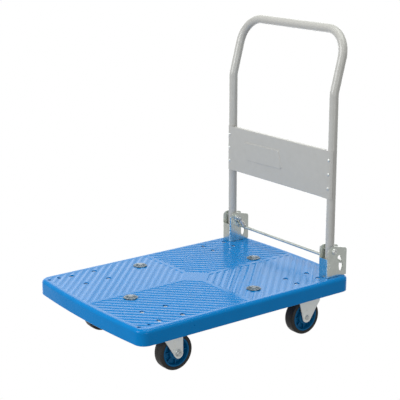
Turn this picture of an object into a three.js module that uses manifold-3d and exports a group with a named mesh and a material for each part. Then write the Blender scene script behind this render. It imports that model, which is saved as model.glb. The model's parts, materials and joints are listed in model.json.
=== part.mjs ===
// Folding platform cart: a moulded deck on four casters, with a tube handle that folds down onto it.
// Millimetres. X runs across the deck, Y along it with the handle at +Y, and Z up.
// The origin is on the floor, under the middle of the deck.
import * as THREE from 'three';
import { mergeVertices } from 'three/addons/utils/BufferGeometryUtils.js';
import Module from 'manifold-3d';

const wasm = await Module();
wasm.setup();

// ---- Driving dimensions ----
const GAP = 0.3;
// Facets round a circle: screw holes, bolts and pins, wheels and the handle tube.
const FACETS = { hole: 8, pin: 12, disc: 20, wheel: 28, tube: 16, bore: 8 };

const DECK = {
  width: 505, length: 725, top: 160, skirt: 42, endBow: 13, cornerRadius: 30, edgeRadius: 10,
  wall: 4.5, ribThickness: 4, ribDepth: 34, cellsAcross: 7, cellsAlong: 10, padLift: 10,
};
const SCREW_HOLE = { radius: 4.5, recessRadius: 7.5, recessDepth: 7 };
const BLIND_HOLE = { radius: 4.5, depth: 12, x: 219, rows: [-305, -335] };
const STUD = { radius: 19.5, height: 3.6, stemRadius: 4, stemLength: 10 };
const STUD_PLACES = {
  left: [-172, -67], front: [32, -235], rear: [-32, 235], right: [172, 67],
};

const BRACKET = {
  centre: 215, width: 37, front: 279.5, rear: 350, sheet: 2.5, frontHeight: 89, rearHeight: 79.5,
  wallHeight: 54, frontRadius: 20, rearRadius: 9, boltYs: [297, 337], boltOffset: 7,
};
const BOLT = { radius: 3, headRadius: 5.5, headHeight: 3.4, tail: 36 };
const PIVOT = { y: 303, height: 74, boltRadius: 4, headRadius: 8.6, headHeight: 5 };
const ROD = { y: 327.5, height: 41.5, radius: 4.5, travel: 18, overhang: 2 };
const SPRING = { inset: 13, radius: 5.6, eyeThickness: 1.8, eyeWall: 1.6, eyeClearance: 0.5 };

const HANDLE = {
  half: BRACKET.centre, radius: 12.5, bore: 11, stub: 30, bendHeight: 671, lean: 15,
  bendRadius: 45, top: 835, cornerRadius: 74,
};
const PANEL = {
  bottom: 382, top: 516, sheet: 1.2, wrap: 55, flange: 10, flangeHalf: 196,
  rivetHeights: [411, 450.5, 490], rivetRadius: 2.4, rivetHead: 4.4,
};

const WHEEL = {
  radius: 50, width: 32, tyreInner: 40.3, rimInner: 36, boss: 15, bossHalf: 18.6,
  web: 8, hubBore: 7.3, bushOuter: 7, bushInner: 4.5,
};
const AXLE = { radius: 4, headRadius: 7.5, headHeight: 5.2, nutHeight: 6.5, tail: 4 };
const FORK = { legInner: 19.3, sheet: 2.5, tip: 15.8, crownTop: 117.5, crownSheet: 3 };
const PLATE = { top: 127.7, sheet: 2.5 };
const FRONT_CASTER = {
  x: 173.6, kingpinY: -232.4, trail: 32.4, holesAcross: 75.4, holesAlong: 72.4,
  plateAcross: 96, plateAlong: 93, kingpinRadius: 6,
};
const REAR_CASTER = {
  x: 186, plateY: 228, axleY: 231, holesAcross: 47, holesAlong: 78.2, plateAcross: 68, plateAlong: 100,
};

const DECK_HALF_WIDTH = DECK.width / 2;
const DECK_HALF_LENGTH = DECK.length / 2;
const DECK_BOTTOM = DECK.top - DECK.skirt;
const PAD_BOTTOM = DECK_BOTTOM + DECK.padLift;
const PIVOT_Z = DECK.top + PIVOT.height;
const ROD_Z = DECK.top + ROD.height;
const SIDES = [['left', -1], ['right', 1]];

// ---- Materials ----
function material(color, roughness, metalness) {
  return new THREE.MeshStandardMaterial({ color, roughness, metalness });
}
const BLUE_PLASTIC = () => material('#0a63b4', 0.3, 0);
const GREY_PLASTIC = () => material('#8b9097', 0.45, 0);
const HUB_PLASTIC = () => material('#0b3f7d', 0.4, 0);
const GREY_PAINT = () => material('#bcbebb', 0.4, 0.1);
const ZINC = () => material('#b9c2bd', 0.3, 1);
const BOLT_STEEL = () => material('#c7c9c6', 0.3, 1);
const BLACK_PLASTIC = () => material('#232323', 0.5, 0);
const TYRE_RUBBER = () => material('#26231f', 0.8, 0);
const BUSH_PLASTIC = () => material('#d8d6cd', 0.5, 0);

// ---- Solids: joining and cutting ----
function toSolid(geometry) {
  const bare = geometry.clone();
  for (const name of Object.keys(bare.attributes)) {
    if (name !== 'position') {
      bare.deleteAttribute(name);
    }
  }
  const merged = mergeVertices(bare, 1e-3);
  return new wasm.Manifold(new wasm.Mesh({
    numProp: 3,
    vertProperties: new Float32Array(merged.attributes.position.array),
    triVerts: new Uint32Array(merged.index.array),
  }));
}

function toGeometry(solid) {
  const mesh = solid.getMesh();
  const geometry = new THREE.BufferGeometry();
  geometry.setAttribute('position', new THREE.BufferAttribute(new Float32Array(mesh.vertProperties), 3));
  geometry.setIndex(new THREE.BufferAttribute(new Uint32Array(mesh.triVerts), 1));
  const flat = geometry.toNonIndexed();
  flat.computeVertexNormals();
  return flat;
}

function join(...geometries) {
  return toGeometry(geometries.map(toSolid).reduce((sum, solid) => sum.add(solid)));
}

function cut(geometry, ...cutters) {
  return toGeometry(cutters.map(toSolid).reduce((rest, solid) => rest.subtract(solid), toSolid(geometry)));
}

// ---- Basic shapes, placed in the cart's frame ----
function box(low, high) {
  const size = low.map((value, axis) => high[axis] - value);
  const geometry = new THREE.BoxGeometry(...size);
  return geometry.translate(...low.map((value, axis) => value + size[axis] / 2));
}

// Turns a profile of [radius, height] points about Z.
function turned(profile, segments) {
  const points = profile.map(([radius, height]) => new THREE.Vector2(radius, height));
  return new THREE.LatheGeometry(points, segments).rotateX(Math.PI / 2);
}

function upright(radius, bottom, top, segments = FACETS.pin) {
  return turned([[0, bottom], [radius, bottom], [radius, top], [0, top]], segments);
}

// A round bar along X from x = from to x = to, centred on (y, z).
function crossBar(radius, from, to, y, z, segments = FACETS.pin) {
  return upright(radius, from, to, segments).rotateY(Math.PI / 2).translate(0, y, z);
}

// Cutters for a hole whose flats stand one gap clear of a pin of the given radius.
function drill(pinRadius, bottom, top) {
  return upright((pinRadius + GAP) / Math.cos(Math.PI / FACETS.hole), bottom, top, FACETS.hole);
}

function crossDrill(pinRadius, from, to, y, z) {
  return crossBar((pinRadius + GAP) / Math.cos(Math.PI / FACETS.pin), from, to, y, z);
}

function ring(inner, outer, bottom, top, segments) {
  return turned(
    [[inner, bottom], [outer, bottom], [outer, top], [inner, top], [inner, bottom]],
    segments,
  );
}

function hexagon(acrossFlats, bottom, top) {
  return upright(acrossFlats / Math.sqrt(3), bottom, top, 6);
}

// Extrudes an outline drawn in the YZ plane, from x = from to x = to.
function sidePlate(shape, from, to, curveSegments = 5) {
  const geometry = new THREE.ExtrudeGeometry(shape, {
    depth: to - from, bevelEnabled: false, curveSegments,
  });
  geometry.rotateY(Math.PI / 2).rotateX(Math.PI / 2);
  return geometry.translate(from, 0, 0);
}

// ---- Deck ----
// The deck's plan: straight long sides, gently bowed ends and round corners, moved in by inset.
function deckOutline(inset) {
  const halfWidth = DECK_HALF_WIDTH - inset;
  const radius = DECK.cornerRadius - inset;
  const bowPoints = 8;
  const cornerSteps = 5;
  const outline = [];
  const endY = (x) => DECK_HALF_LENGTH - inset - DECK.endBow * (x / DECK_HALF_WIDTH) ** 2;
  const quarter = [];
  for (let step = 0; step <= cornerSteps; step += 1) {
    const angle = (step / cornerSteps) * (Math.PI / 2);
    const x = halfWidth - radius + radius * Math.cos(angle);
    const edge = endY(halfWidth - radius);
    quarter.push([x, edge - radius + radius * Math.sin(angle)]);
  }
  const bow = [];
  for (let step = 1; step < bowPoints; step += 1) {
    const x = (halfWidth - radius) * (1 - (2 * step) / bowPoints);
    bow.push([x, endY(x)]);
  }
  outline.push(...quarter, ...bow);
  outline.push(...quarter.toReversed().map(([x, y]) => [-x, y]));
  outline.push(...quarter.map(([x, y]) => [-x, -y]));
  outline.push(...bow.toReversed().map(([x, y]) => [x, -y]));
  outline.push(...quarter.toReversed().map(([x, y]) => [x, -y]));
  return outline.map(([x, y]) => new THREE.Vector2(x, y));
}

// Stacks outlines of equal point count at [inset, height] levels into one closed body.
function stacked(levels, outlineAt) {
  const rings = levels.map(([inset, height]) => outlineAt(inset).map(({ x, y }) => [x, y, height]));
  const count = rings[0].length;
  const positions = rings.flat(2);
  const indices = [];
  for (let level = 0; level < rings.length - 1; level += 1) {
    for (let point = 0; point < count; point += 1) {
      const next = (point + 1) % count;
      const low = level * count;
      const high = low + count;
      indices.push(low + point, low + next, high + next);
      indices.push(low + point, high + next, high + point);
    }
  }
  const caps = THREE.ShapeUtils.triangulateShape(outlineAt(levels[0][0]), []);
  const lastRing = (rings.length - 1) * count;
  for (const [a, b, c] of caps) {
    indices.push(a, c, b);
    indices.push(lastRing + a, lastRing + b, lastRing + c);
  }
  const geometry = new THREE.BufferGeometry();
  geometry.setAttribute('position', new THREE.Float32BufferAttribute(positions, 3));
  geometry.setIndex(indices);
  return geometry;
}

function deckBody() {
  const levels = [[0, DECK_BOTTOM]];
  const steps = 4;
  for (let step = 0; step <= steps; step += 1) {
    const angle = (step / steps) * (Math.PI / 2);
    const inset = DECK.edgeRadius * (1 - Math.cos(angle));
    levels.push([inset, DECK.top - DECK.edgeRadius * (1 - Math.sin(angle))]);
  }
  return stacked(levels, deckOutline);
}

// The open cells between the ribs under the deck.
function deckCells() {
  const cells = [];
  const rimX = DECK_HALF_WIDTH - DECK.wall;
  const rimY = DECK_HALF_LENGTH - DECK.endBow - DECK.wall;
  const pitchX = (2 * rimX + DECK.ribThickness) / DECK.cellsAcross;
  const pitchY = (2 * rimY + DECK.ribThickness) / DECK.cellsAlong;
  for (let column = 0; column < DECK.cellsAcross; column += 1) {
    for (let row = 0; row < DECK.cellsAlong; row += 1) {
      const x = -rimX + column * pitchX;
      const y = -rimY + row * pitchY;
      const isCorner = (column === 0 || column === DECK.cellsAcross - 1)
        && (row === 0 || row === DECK.cellsAlong - 1);
      if (!isCorner) {
        cells.push(box(
          [x, y, DECK_BOTTOM - 1],
          [x + pitchX - DECK.ribThickness, y + pitchY - DECK.ribThickness, DECK_BOTTOM + DECK.ribDepth],
        ));
      }
    }
  }
  return cells;
}

// Each caster's plate: its centre, its half sizes and its screw places.
function casterPlates() {
  const plates = [];
  for (const [, side] of SIDES) {
    plates.push({
      x: side * FRONT_CASTER.x, y: FRONT_CASTER.kingpinY,
      halfX: FRONT_CASTER.plateAcross / 2, halfY: FRONT_CASTER.plateAlong / 2,
      screwX: FRONT_CASTER.holesAcross / 2, screwY: FRONT_CASTER.holesAlong / 2,
    });
    plates.push({
      x: side * REAR_CASTER.x, y: REAR_CASTER.plateY,
      halfX: REAR_CASTER.plateAcross / 2, halfY: REAR_CASTER.plateAlong / 2,
      screwX: REAR_CASTER.holesAcross / 2, screwY: REAR_CASTER.holesAlong / 2,
    });
  }
  return plates;
}

function screwPlaces(plate) {
  return [[-1, -1], [1, -1], [1, 1], [-1, 1]].map(([alongX, alongY]) => [
    plate.x + alongX * plate.screwX, plate.y + alongY * plate.screwY,
  ]);
}

function bracketBoltPlaces(side) {
  return BRACKET.boltYs.map((y, index) => [
    side * (BRACKET.centre + (index === 0 ? -BRACKET.boltOffset : BRACKET.boltOffset)), y,
  ]);
}

function deckGeometry() {
  const pads = [];
  const cutters = [];
  for (const plate of casterPlates()) {
    const margin = 7;
    pads.push(box(
      [plate.x - plate.halfX - margin, plate.y - plate.halfY - margin, DECK_BOTTOM],
      [plate.x + plate.halfX + margin, plate.y + plate.halfY + margin, DECK.top - 5],
    ));
    cutters.push(box(
      [plate.x - plate.halfX - 1, plate.y - plate.halfY - 1, DECK_BOTTOM - 1],
      [plate.x + plate.halfX + 1, plate.y + plate.halfY + 1, PAD_BOTTOM],
    ));
    for (const [x, y] of screwPlaces(plate)) {
      cutters.push(upright(SCREW_HOLE.radius, PAD_BOTTOM - 1, DECK.top + 1, FACETS.hole).translate(x, y, 0));
      cutters.push(upright(SCREW_HOLE.recessRadius, DECK.top - SCREW_HOLE.recessDepth, DECK.top + 1, FACETS.hole)
        .translate(x, y, 0));
    }
  }
  for (const [, side] of SIDES) {
    for (const y of BLIND_HOLE.rows) {
      cutters.push(upright(BLIND_HOLE.radius, DECK.top - BLIND_HOLE.depth, DECK.top + 1, FACETS.hole)
        .translate(side * BLIND_HOLE.x, y, 0));
    }
    for (const [x, y] of bracketBoltPlaces(side)) {
      pads.push(upright(9, DECK_BOTTOM + 6, DECK.top - 5, FACETS.hole).translate(x, y, 0));
      cutters.push(drill(BOLT.radius, DECK_BOTTOM + 5, DECK.top + 1).translate(x, y, 0));
    }
  }
  for (const [x, y] of Object.values(STUD_PLACES)) {
    cutters.push(drill(STUD.stemRadius, DECK.top - STUD.stemLength - GAP, DECK.top + 1)
      .translate(x, y, 0));
    pads.push(upright(8, DECK.top - STUD.stemLength - 4, DECK.top - 5, FACETS.hole).translate(x, y, 0));
  }
  return cut(join(cut(deckBody(), ...deckCells()), ...pads), ...cutters);
}

function studGeometry() {
  const profile = [[0, -STUD.stemLength], [STUD.stemRadius, -STUD.stemLength], [STUD.stemRadius, GAP]];
  profile.push([STUD.radius, GAP], [STUD.radius, 1.6], [STUD.radius * 0.8, 2.9], [0, STUD.height]);
  return turned(profile, FACETS.disc);
}

// ---- Bracket, pivot and lock ----
// A slot whose ends are two circles of different size, one above the other.
function taperedSlot(upper, upperRadius, lower, lowerRadius) {
  const steps = 6;
  const points = [];
  for (let step = 0; step <= steps; step += 1) {
    const angle = (step / steps) * Math.PI;
    points.push([upper[0] + upperRadius * Math.cos(angle), upper[1] + upperRadius * Math.sin(angle)]);
  }
  for (let step = 0; step <= steps; step += 1) {
    const angle = Math.PI + (step / steps) * Math.PI;
    points.push([lower[0] + lowerRadius * Math.cos(angle), lower[1] + lowerRadius * Math.sin(angle)]);
  }
  return new THREE.Shape(points.map(([y, z]) => new THREE.Vector2(y, z)));
}

function lockSlots() {
  const rest = [ROD.y, ROD_Z];
  const topLobe = [ROD.y - 5, ROD_Z + 12.5];
  const widest = [ROD.y + 1, ROD_Z - 12];
  const bottomLobe = [ROD.y + 1, ROD_Z - ROD.travel - 2.5];
  return [
    taperedSlot(topLobe, 6.3, rest, 5.4),
    taperedSlot(rest, 5.4, widest, 7.2),
    taperedSlot(widest, 7.2, bottomLobe, 5.9),
  ];
}

// A cheek's outline: a high round front corner and a lower rear one, joined by the line that touches both.
function cheekShape() {
  const base = DECK.top + GAP;
  const frontY = BRACKET.front + BRACKET.frontRadius;
  const frontZ = DECK.top + BRACKET.frontHeight - BRACKET.frontRadius;
  const rearY = BRACKET.rear - BRACKET.rearRadius;
  const rearZ = DECK.top + BRACKET.rearHeight - BRACKET.rearRadius;
  const span = Math.hypot(rearY - frontY, rearZ - frontZ);
  const touch = Math.atan2(rearZ - frontZ, rearY - frontY)
    + Math.acos((BRACKET.frontRadius - BRACKET.rearRadius) / span);
  const shape = new THREE.Shape();
  shape.moveTo(BRACKET.front, base);
  shape.lineTo(BRACKET.rear, base);
  shape.absarc(rearY, rearZ, BRACKET.rearRadius, 0, touch);
  shape.absarc(frontY, frontZ, BRACKET.frontRadius, touch, Math.PI);
  shape.closePath();
  return shape;
}

function bracketGeometry(side) {
  const inner = BRACKET.centre - BRACKET.width / 2;
  const outer = BRACKET.centre + BRACKET.width / 2;
  const base = DECK.top + GAP;
  const plates = [[inner, inner + BRACKET.sheet], [outer - BRACKET.sheet, outer]];
  const cheeks = plates.map(([from, to]) => sidePlate(cheekShape(), from, to));
  const wall = box(
    [inner, BRACKET.front, base],
    [outer, BRACKET.front + BRACKET.sheet, DECK.top + BRACKET.wallHeight],
  );
  const floor = box([inner, BRACKET.front, base], [outer, BRACKET.rear, base + BRACKET.sheet]);
  const cutters = lockSlots().map((shape) => sidePlate(shape, inner - 1, outer + 1));
  cutters.push(crossDrill(PIVOT.boltRadius, inner - 1, outer + 1, PIVOT.y, PIVOT_Z));
  for (const [x, y] of bracketBoltPlaces(1)) {
    cutters.push(drill(BOLT.radius, DECK.top - 1, DECK.top + 8).translate(x, y, 0));
  }
  const geometry = cut(join(...cheeks, wall, floor), ...cutters);
  return side > 0 ? geometry : mirrored(geometry);
}

// The same body mirrored across the cart's middle plane, with its faces still pointing out.
function mirrored(geometry) {
  const solid = toSolid(geometry).mirror([1, 0, 0]);
  return toGeometry(solid);
}

function bracketBoltGeometry() {
  const seat = DECK.top + GAP + BRACKET.sheet + GAP;
  return turned([
    [0, seat - BOLT.tail], [BOLT.radius, seat - BOLT.tail], [BOLT.radius, seat],
    [BOLT.headRadius, seat], [BOLT.headRadius * 0.85, seat + BOLT.headHeight * 0.7],
    [0, seat + BOLT.headHeight],
  ], FACETS.pin);
}

// The pivot bolt runs inwards from its domed head, and its tail holds the spring's eye.
function pivotBoltGeometry(side) {
  const outer = BRACKET.width / 2 + GAP;
  const tail = -(BRACKET.width / 2 + SPRING.inset + 6);
  const geometry = turned([
    [0, tail], [PIVOT.boltRadius, tail], [PIVOT.boltRadius, outer], [PIVOT.headRadius, outer],
    [PIVOT.headRadius, outer + 2], [PIVOT.headRadius * 0.8, outer + 4.2],
    [PIVOT.headRadius * 0.35, outer + PIVOT.headHeight], [0, outer + PIVOT.headHeight],
  ], FACETS.tube);
  return geometry.rotateY((side * Math.PI) / 2);
}

function pivotNutGeometry(side) {
  const seat = -(BRACKET.width / 2 + GAP);
  const nut = cut(hexagon(13, seat - 6, seat), drill(PIVOT.boltRadius, seat - 7, seat + 1));
  return nut.rotateY((side * Math.PI) / 2);
}

function lockRodGeometry() {
  const end = BRACKET.centre + BRACKET.width / 2 + ROD.overhang;
  return crossBar(ROD.radius, -end, end, ROD.y, ROD_Z, FACETS.tube);
}

// The spring hangs between an eye on the pivot bolt and an eye on the lock rod.
function lockSpringGeometry(side) {
  const x = side * (BRACKET.centre - BRACKET.width / 2 - SPRING.inset);
  const half = SPRING.eyeThickness / 2;
  const eyes = [
    [PIVOT.boltRadius + SPRING.eyeClearance, PIVOT.y, PIVOT_Z],
    [ROD.radius + SPRING.eyeClearance, ROD.y, ROD_Z],
  ];
  const rings = eyes.map(([bore, y, z]) => ring(bore, bore + SPRING.eyeWall, -half, half, FACETS.pin)
    .rotateY(Math.PI / 2).translate(x, y, z));
  const run = new THREE.Vector3(0, ROD.y - PIVOT.y, ROD_Z - PIVOT_Z);
  const direction = run.clone().normalize();
  const start = direction.clone().multiplyScalar(PIVOT.boltRadius + 1.4);
  const length = run.length() - PIVOT.boltRadius - ROD.radius - 2.8;
  const coil = upright(SPRING.radius, 0, length, FACETS.hole);
  coil.applyQuaternion(new THREE.Quaternion().setFromUnitVectors(new THREE.Vector3(0, 0, 1), direction));
  coil.translate(x, PIVOT.y + start.y, PIVOT_Z + start.z);
  const clear = eyes.map(([bore, y, z]) => crossBar(bore, x - 8, x + 8, y, z));
  return cut(join(...rings, coil), ...clear);
}

// ---- Handle ----
// A path through chosen stations, so that straight runs need no steps in between.
class StationPath extends THREE.Curve {
  constructor(stations) {
    super();
    this.stations = stations;
  }

  getPoint(t) {
    return this.stations[Math.round(t * (this.stations.length - 1))].point.clone();
  }

  getTangent(t) {
    return this.stations[Math.round(t * (this.stations.length - 1))].tangent.clone();
  }

  getPointAt(t) {
    return this.getPoint(t);
  }

  getTangentAt(t) {
    return this.getTangent(t);
  }
}

// Half of the handle's centreline, from the foot of the +X leg to the middle of the top bar.
function handleHalf() {
  const lean = THREE.MathUtils.degToRad(HANDLE.lean);
  const stations = [];
  const up = new THREE.Vector3(0, 0, 1);
  stations.push({ point: new THREE.Vector3(HANDLE.half, PIVOT.y, PIVOT_Z - HANDLE.stub), tangent: up });
  const bendSteps = 3;
  const bendStart = HANDLE.bendHeight - HANDLE.bendRadius * Math.tan(lean / 2);
  for (let step = 0; step <= bendSteps; step += 1) {
    const angle = (step / bendSteps) * lean;
    stations.push({
      point: new THREE.Vector3(
        HANDLE.half,
        PIVOT.y + HANDLE.bendRadius * (1 - Math.cos(angle)),
        bendStart + HANDLE.bendRadius * Math.sin(angle),
      ),
      tangent: new THREE.Vector3(0, Math.sin(angle), Math.cos(angle)),
    });
  }
  const slope = new THREE.Vector3(0, Math.sin(lean), Math.cos(lean));
  const inwards = new THREE.Vector3(-1, 0, 0);
  const topY = PIVOT.y + (HANDLE.top - HANDLE.bendHeight) * Math.tan(lean);
  const corner = new THREE.Vector3(HANDLE.half, topY, HANDLE.top);
  const centre = corner.clone().addScaledVector(slope, -HANDLE.cornerRadius)
    .addScaledVector(inwards, HANDLE.cornerRadius);
  const cornerSteps = 7;
  for (let step = 0; step <= cornerSteps; step += 1) {
    const angle = (step / cornerSteps) * (Math.PI / 2);
    stations.push({
      point: centre.clone()
        .addScaledVector(inwards, -HANDLE.cornerRadius * Math.cos(angle))
        .addScaledVector(slope, HANDLE.cornerRadius * Math.sin(angle)),
      tangent: slope.clone().multiplyScalar(Math.cos(angle)).addScaledVector(inwards, Math.sin(angle)),
    });
  }
  return stations;
}

function handlePath() {
  const half = handleHalf();
  const otherHalf = half.toReversed().map(({ point, tangent }) => ({
    point: new THREE.Vector3(-point.x, point.y, point.z),
    tangent: new THREE.Vector3(tangent.x, -tangent.y, -tangent.z),
  }));
  return new StationPath([...half, ...otherHalf]);
}

function handleTubeGeometry() {
  const path = handlePath();
  const section = (radius, sides) => Array.from({ length: sides }, (unused, side) => {
    const angle = (side / sides) * 2 * Math.PI;
    return new THREE.Vector2(radius * Math.cos(angle), radius * Math.sin(angle));
  });
  const shape = new THREE.Shape(section(HANDLE.radius, FACETS.tube));
  shape.holes.push(new THREE.Path(section(HANDLE.bore, FACETS.bore).toReversed()));
  const steps = path.stations.length - 1;
  const tube = new THREE.ExtrudeGeometry(shape, { steps, bevelEnabled: false, extrudePath: path });
  const holes = SIDES.map(([, side]) => {
    const from = side * HANDLE.half - HANDLE.radius - 2;
    return crossDrill(PIVOT.boltRadius, from, from + 2 * HANDLE.radius + 4, PIVOT.y, PIVOT_Z);
  });
  holes.push(...rivetPlaces().map(([x, z]) => rivetHole(x, z)));
  return cut(tube, ...holes);
}

function rivetPlaces() {
  return SIDES.flatMap(([, side]) => PANEL.rivetHeights.map((z) => [side * HANDLE.half, z]));
}

// The cutter for a rivet's hole through the front of a handle leg.
function rivetHole(x, z) {
  return drill(PANEL.rivetRadius, 0, 12).rotateX(Math.PI / 2).translate(x, PIVOT.y - HANDLE.radius + 4, z);
}

function tubePlugGeometry() {
  const foot = PIVOT_Z - HANDLE.stub;
  const bore = HANDLE.bore * Math.cos(Math.PI / FACETS.bore) - GAP;
  return turned([
    [0, foot - 2], [HANDLE.radius - 1.5, foot - 2], [HANDLE.radius - 0.5, foot - GAP],
    [bore, foot - GAP], [bore, foot + 12], [0, foot + 12],
  ], FACETS.pin);
}

// The panel's section in plan: a flat front that curls round both legs.
function panelSection() {
  const inner = HANDLE.radius + GAP;
  const outer = inner + PANEL.sheet;
  const wrap = THREE.MathUtils.degToRad(PANEL.wrap);
  const steps = 6;
  const points = [];
  const arc = (radius, side, step) => {
    const angle = (step / steps) * wrap;
    return [side * (HANDLE.half + radius * Math.sin(angle)), PIVOT.y - radius * Math.cos(angle)];
  };
  for (let step = steps; step >= 0; step -= 1) {
    points.push(arc(outer, -1, step));
  }
  for (let step = 0; step <= steps; step += 1) {
    points.push(arc(outer, 1, step));
  }
  for (let step = steps; step >= 0; step -= 1) {
    points.push(arc(inner, 1, step));
  }
  for (let step = 0; step <= steps; step += 1) {
    points.push(arc(inner, -1, step));
  }
  return new THREE.Shape(points.map(([x, y]) => new THREE.Vector2(x, y)));
}

function panelGeometry() {
  const height = PANEL.top - PANEL.bottom;
  const sheet = new THREE.ExtrudeGeometry(panelSection(), { depth: height, bevelEnabled: false });
  sheet.translate(0, 0, PANEL.bottom);
  const front = PIVOT.y - HANDLE.radius - GAP - PANEL.sheet;
  const flanges = [PANEL.bottom, PANEL.top - PANEL.sheet].map((z) => box(
    [-PANEL.flangeHalf, front, z],
    [PANEL.flangeHalf, front + PANEL.flange, z + PANEL.sheet],
  ));
  const holes = rivetPlaces().map(([x, z]) => rivetHole(x, z));
  return cut(join(sheet, ...flanges), ...holes);
}

function rivetGeometry() {
  const seat = HANDLE.radius + GAP + PANEL.sheet + GAP;
  const rivet = turned([
    [0, HANDLE.bore - 3], [PANEL.rivetRadius, HANDLE.bore - 3], [PANEL.rivetRadius, seat],
    [PANEL.rivetHead, seat], [PANEL.rivetHead * 0.7, seat + 1.4], [0, seat + 1.8],
  ], FACETS.hole);
  return rivet.rotateX(Math.PI / 2);
}

// ---- Wheels ----
// Wheel pieces turn about X, centred on their own middle.
function tyreGeometry() {
  const half = WHEEL.width / 2;
  const profile = [
    [WHEEL.tyreInner, -half + 1], [WHEEL.radius - 6.5, -half], [WHEEL.radius - 2.2, -half + 3.5],
    [WHEEL.radius, -half + 9], [WHEEL.radius, half - 9], [WHEEL.radius - 2.2, half - 3.5],
    [WHEEL.radius - 6.5, half], [WHEEL.tyreInner, half - 1], [WHEEL.tyreInner, -half + 1],
  ];
  return turned(profile, FACETS.wheel).rotateY(Math.PI / 2);
}

function hubGeometry() {
  const half = WHEEL.width / 2;
  const rimOuter = WHEEL.tyreInner * Math.cos(Math.PI / FACETS.wheel) - GAP;
  const profile = [
    [WHEEL.hubBore, -WHEEL.bossHalf], [WHEEL.boss, -WHEEL.bossHalf], [WHEEL.boss + 1, -WHEEL.web / 2],
    [WHEEL.rimInner - 1, -WHEEL.web / 2], [WHEEL.rimInner, -half + 1], [rimOuter, -half + 1],
    [rimOuter, half - 1], [WHEEL.rimInner, half - 1], [WHEEL.rimInner - 1, WHEEL.web / 2],
    [WHEEL.boss + 1, WHEEL.web / 2], [WHEEL.boss, WHEEL.bossHalf], [WHEEL.hubBore, WHEEL.bossHalf],
    [WHEEL.hubBore, -WHEEL.bossHalf],
  ];
  return turned(profile, FACETS.tube).rotateY(Math.PI / 2);
}

function bushGeometry() {
  const half = WHEEL.bossHalf + 0.1;
  return ring(WHEEL.bushInner, WHEEL.bushOuter * Math.cos(Math.PI / FACETS.wheel), -half, half, FACETS.pin)
    .rotateY(Math.PI / 2);
}

const LEG_OUTER = FORK.legInner + FORK.sheet;

// An axle bolt with a hexagon head towards the cart's middle.
function axleBoltGeometry() {
  const seat = LEG_OUTER + GAP;
  const head = hexagon(13, -seat - AXLE.headHeight, -seat);
  const shank = upright(AXLE.radius, -seat - 1, seat + AXLE.nutHeight + AXLE.tail);
  return join(head, shank).rotateY(Math.PI / 2);
}

function axleNutGeometry() {
  const seat = LEG_OUTER + GAP;
  const flange = upright(AXLE.headRadius + 1, seat, seat + 1.4, FACETS.tube);
  const nut = join(flange, hexagon(13, seat, seat + AXLE.nutHeight));
  return cut(nut, drill(AXLE.radius, seat - 1, seat + AXLE.nutHeight + 1)).rotateY(Math.PI / 2);
}

// ---- Casters ----
// A fork leg's outline about its axle: a round tip below two edges that rise to the given points.
function legShape(rising, falling) {
  const shape = new THREE.Shape();
  shape.moveTo(FORK.tip, 0);
  for (const [y, z] of rising) {
    shape.lineTo(y, z);
  }
  for (const [y, z] of falling) {
    shape.lineTo(y, z);
  }
  shape.absarc(0, 0, FORK.tip, Math.PI * 1.08, Math.PI * 2);
  return shape;
}

function forkLegs(shape) {
  return [[-LEG_OUTER, -FORK.legInner], [FORK.legInner, LEG_OUTER]].map(([from, to]) => {
    const leg = sidePlate(shape, from, to);
    return cut(leg, crossDrill(AXLE.radius, from - 1, to + 1, 0, 0));
  });
}

// The swivel fork about its axle: the kingpin stands ahead of the axle by the trail.
function frontForkGeometry() {
  const crownTop = FORK.crownTop - WHEEL.radius;
  const crownBottom = crownTop - FORK.crownSheet;
  const nose = -FRONT_CASTER.trail - 26;
  const legs = forkLegs(legShape(
    [[FORK.tip, crownTop]],
    [[nose, crownTop], [nose, crownBottom], [-39.5, 39], [-23.5, 15.5]],
  ));
  const crown = box([-LEG_OUTER, nose, crownBottom], [LEG_OUTER, FORK.tip, crownTop]);
  const collar = upright(29, crownBottom, crownTop, FACETS.disc).translate(0, -FRONT_CASTER.trail, 0);
  const hole = drill(FRONT_CASTER.kingpinRadius, crownBottom - 1, crownTop + 1)
    .translate(0, -FRONT_CASTER.trail, 0);
  return cut(join(...legs, crown, collar), hole);
}

function plateGeometry(halfX, halfY, screwX, screwY) {
  const bottom = PLATE.top - PLATE.sheet;
  const holes = [[-1, -1], [1, -1], [1, 1], [-1, 1]].map(([alongX, alongY]) => upright(
    SCREW_HOLE.radius, bottom - 1, PLATE.top + 1, FACETS.hole,
  ).translate(alongX * screwX, alongY * screwY, 0));
  return cut(box([-halfX, -halfY, bottom], [halfX, halfY, PLATE.top]), ...holes);
}

function frontPlateGeometry() {
  const plate = plateGeometry(
    FRONT_CASTER.plateAcross / 2, FRONT_CASTER.plateAlong / 2,
    FRONT_CASTER.holesAcross / 2, FRONT_CASTER.holesAlong / 2,
  );
  return cut(plate, drill(FRONT_CASTER.kingpinRadius, PLATE.top - 5, PLATE.top + 1));
}

// The swivel's upper ball cup, seated under the top plate.
function raceGeometry() {
  const top = PLATE.top - PLATE.sheet - GAP;
  const bottom = FORK.crownTop + GAP;
  return turned([
    [14, bottom], [25, bottom], [28, bottom + 2.5], [28, top - 1.5], [24, top], [14, top], [14, bottom],
  ], FACETS.disc);
}

function kingpinGeometry() {
  const head = FORK.crownTop - FORK.crownSheet - GAP;
  return turned([
    [0, head - 3], [7, head - 3], [9.5, head - 1.5], [9.5, head], [FRONT_CASTER.kingpinRadius, head],
    [FRONT_CASTER.kingpinRadius, PLATE.top], [0, PLATE.top],
  ], FACETS.tube);
}

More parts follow.
